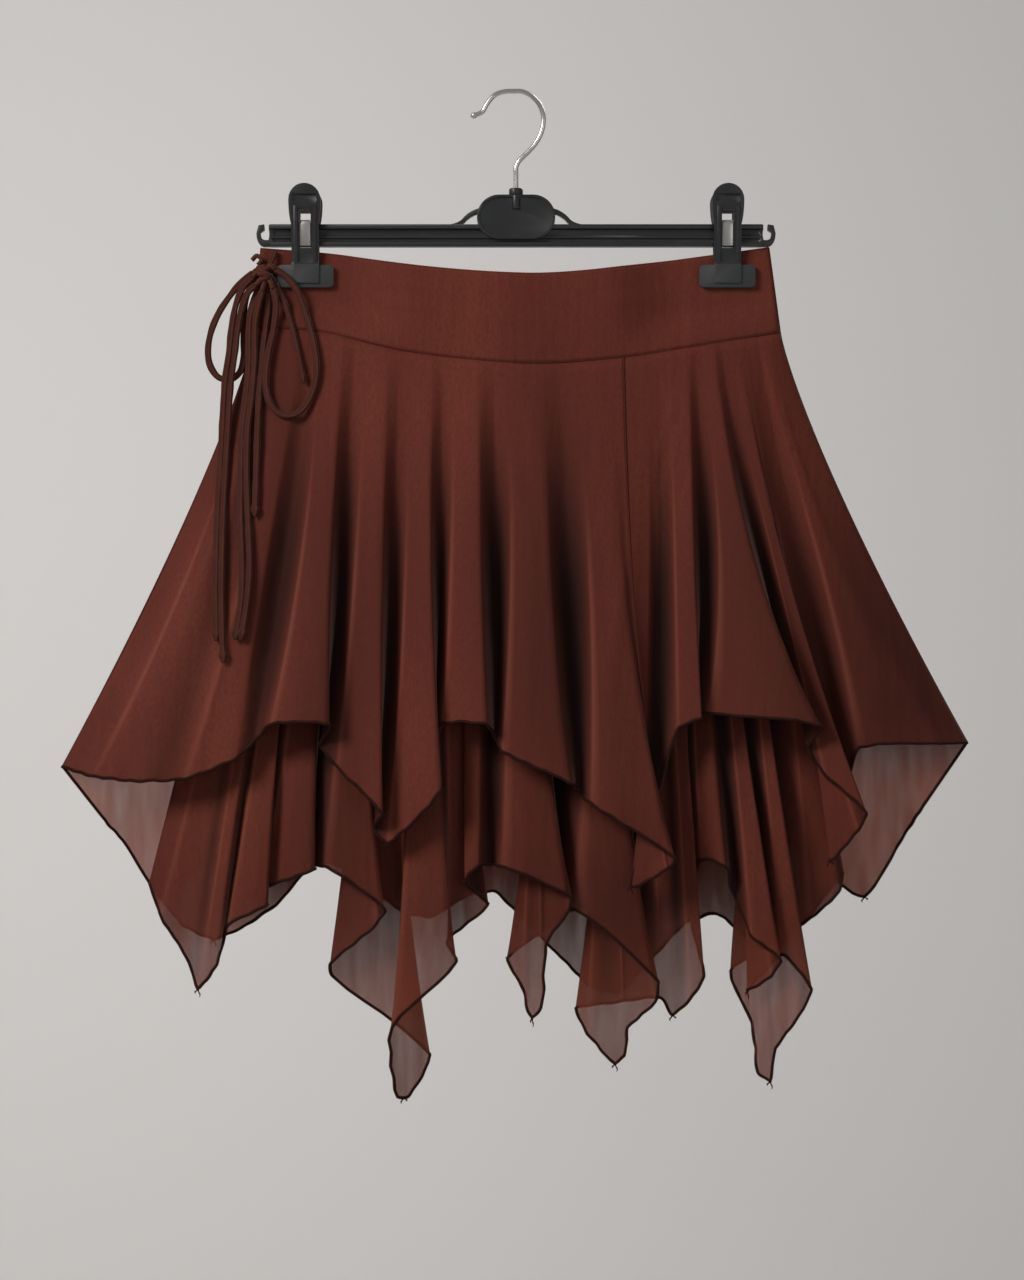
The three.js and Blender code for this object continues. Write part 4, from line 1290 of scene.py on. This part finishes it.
def build_lower_front():
    folds = fold_lines(lower_front_folds, lower_front_valleys, lower_sides, LOWER_INSET)
    grid, hollow, crest = layer_grid(folds, FRONT, LAYER_STEP, rows=72, per_span=6, push=0)
    grid = rumpled(grid, FRONT, wave=0.6, lettuce=1.15, phase=2.6)
    covered = graded(grid, 1, 0, 430, 520)
    grid[..., 1] *= 1 - 0.45 * covered * graded(grid, 0, 1, 205, 300)
    # The lower front carries painted valley shade and fold-edge highlight, and gives off a little
    # painted light, by emission, near its hem.
    hung_piece(
        "lower_front", "lower_front", grid, FRONT, -590, (1.3, 0.52), 0.3,
        cover=graded(grid, CLOSED, SHEER_COVER, 400, 500) * graded(grid, 1, 0.7, 500, 650),
        hollow=hollow, crest=crest * 0.9, glow=graded(grid, 0, 0.35, 560, 650),
    )
    return grid


def build_back(name, fold_sizes, inward, push, creases, phase, flat, area):
    """A back layer. From the front only the inside of its lower end shows, with painted light in it.
    """
    folds = even_fold_lines(*fold_sizes)
    grid, hollow, crest = layer_grid(folds, BACK, inward, rows=60, per_span=8, push=push)
    grid = creased(grid, BACK, creases)
    grid = rumpled(grid, BACK, wave=1.3, lettuce=0.9, phase=phase)
    corner = ease(150, 240, np.abs(grid[..., 0])) * (1 - 0.4 * ease(150, 240, grid[..., 0]))
    tips = graded(grid, 0, 1, 520, 620)
    # Where light would shine through, at the lower corners and the tips, the painted valley shade is
    # lessened; low down the layer gives off a little painted light, by emission, most at its
    # corners.
    light = np.maximum(corner * graded(grid, 0, 1, 410, 480), tips)
    hung_piece(
        name, name, grid, BACK, -500, flat, area,
        cover=graded(grid, CLOSED, 0.92, 330, 460) * (1 - 0.32 * np.maximum(corner, tips)),
        hollow=hollow * (0.9 - 0.6 * light), crest=crest * 0.5,
        glow=(0.12 + 0.68 * corner) * graded(grid, 0, 1, 440, 490),
    )


def build_side_seams(front, word):
    """The side seams close the front of a layer to its back."""
    lines = [front[:, end] * (1, 0, 1) for end in (0, -1)]
    seam_piece(f"{word}_side_seams", lines, "side seam")


build_yoke()
build_side_seams(yoke_grid(FRONT), "yoke")
build_side_seams(build_upper_front(), "upper")
build_side_seams(build_lower_front(), "lower")
build_back(
    "upper_back", (upper_back_hem, 9, 31, 21, 0), inward=0, push=3,
    creases=back_creases, phase=1.7, flat=(0.85, 0.42), area=0.17,
)
build_back(
    "lower_back", (lower_back_hem, 11, 15, 8, LOWER_INSET), inward=LAYER_STEP, push=0,
    creases=[], phase=0.9, flat=(0.75, 0.46), area=0.175,
)


# Room

ROOM_SIDE = 8
FLOOR_HEIGHT = -2.4
BACKDROP_Y = 4.8
ROOM_TOP = 6


def panel(name, corners, material):
    shape(name, corners, [(0, 1, 2, 3)], material)


def add_light(name, place, aim, size, power, colour, shadow=True):
    data = bpy.data.lights.new(name, "AREA")
    data.shape = "DISK"
    data.size = size
    data.energy = power
    data.color = colour
    data.use_shadow = shadow
    light = bpy.data.objects.new(name, data)
    light.location = place
    light.rotation_mode = "QUATERNION"
    light.rotation_quaternion = (Vector(aim) - Vector(place)).to_track_quat("-Z", "Y")
    bpy.context.scene.collection.objects.link(light)


def build_room():
    pale = plain_finish("pale_floor", PALE, 0.9)
    near, far, top = (
        [(-ROOM_SIDE, y, z), (ROOM_SIDE, y, z)]
        for y, z in ((-ROOM_SIDE, FLOOR_HEIGHT), (BACKDROP_Y, FLOOR_HEIGHT), (BACKDROP_Y, ROOM_TOP))
    )
    panel("floor", near + far[::-1], pale)
    panel("backdrop", far + top[::-1], pale)
    add_light("key", (-1.9, -1.6, 1.1), (0, 0, -0.35), 1.1, 66, (1.0, 0.96, 0.92))
    add_light("fill", (1.6, -2.6, -0.2), (0, 0, -0.4), 1.6, 7, (0.94, 0.97, 1.0))
    add_light("wall", (-1.6, 1.2, 0.2), (-1.2, 4.8, 0.1), 2.0, 56, (1.0, 0.985, 0.97))
    add_light("behind", (1.25, 2.5, 1.3), (0, 0, -0.4), 1.2, 30, (1.0, 0.98, 0.95), shadow=False)
    scene = bpy.context.scene
    scene.world = bpy.data.worlds.new("soft_room")
    scene.world.use_nodes = True
    background = scene.world.node_tree.nodes["Background"]
    background.inputs["Color"].default_value = (0.92, 0.93, 0.95, 1)
    background.inputs["Strength"].default_value = 0.31
    scene.view_settings.view_transform = "Standard"
    scene.cycles.transparent_max_bounces = 24


build_room()
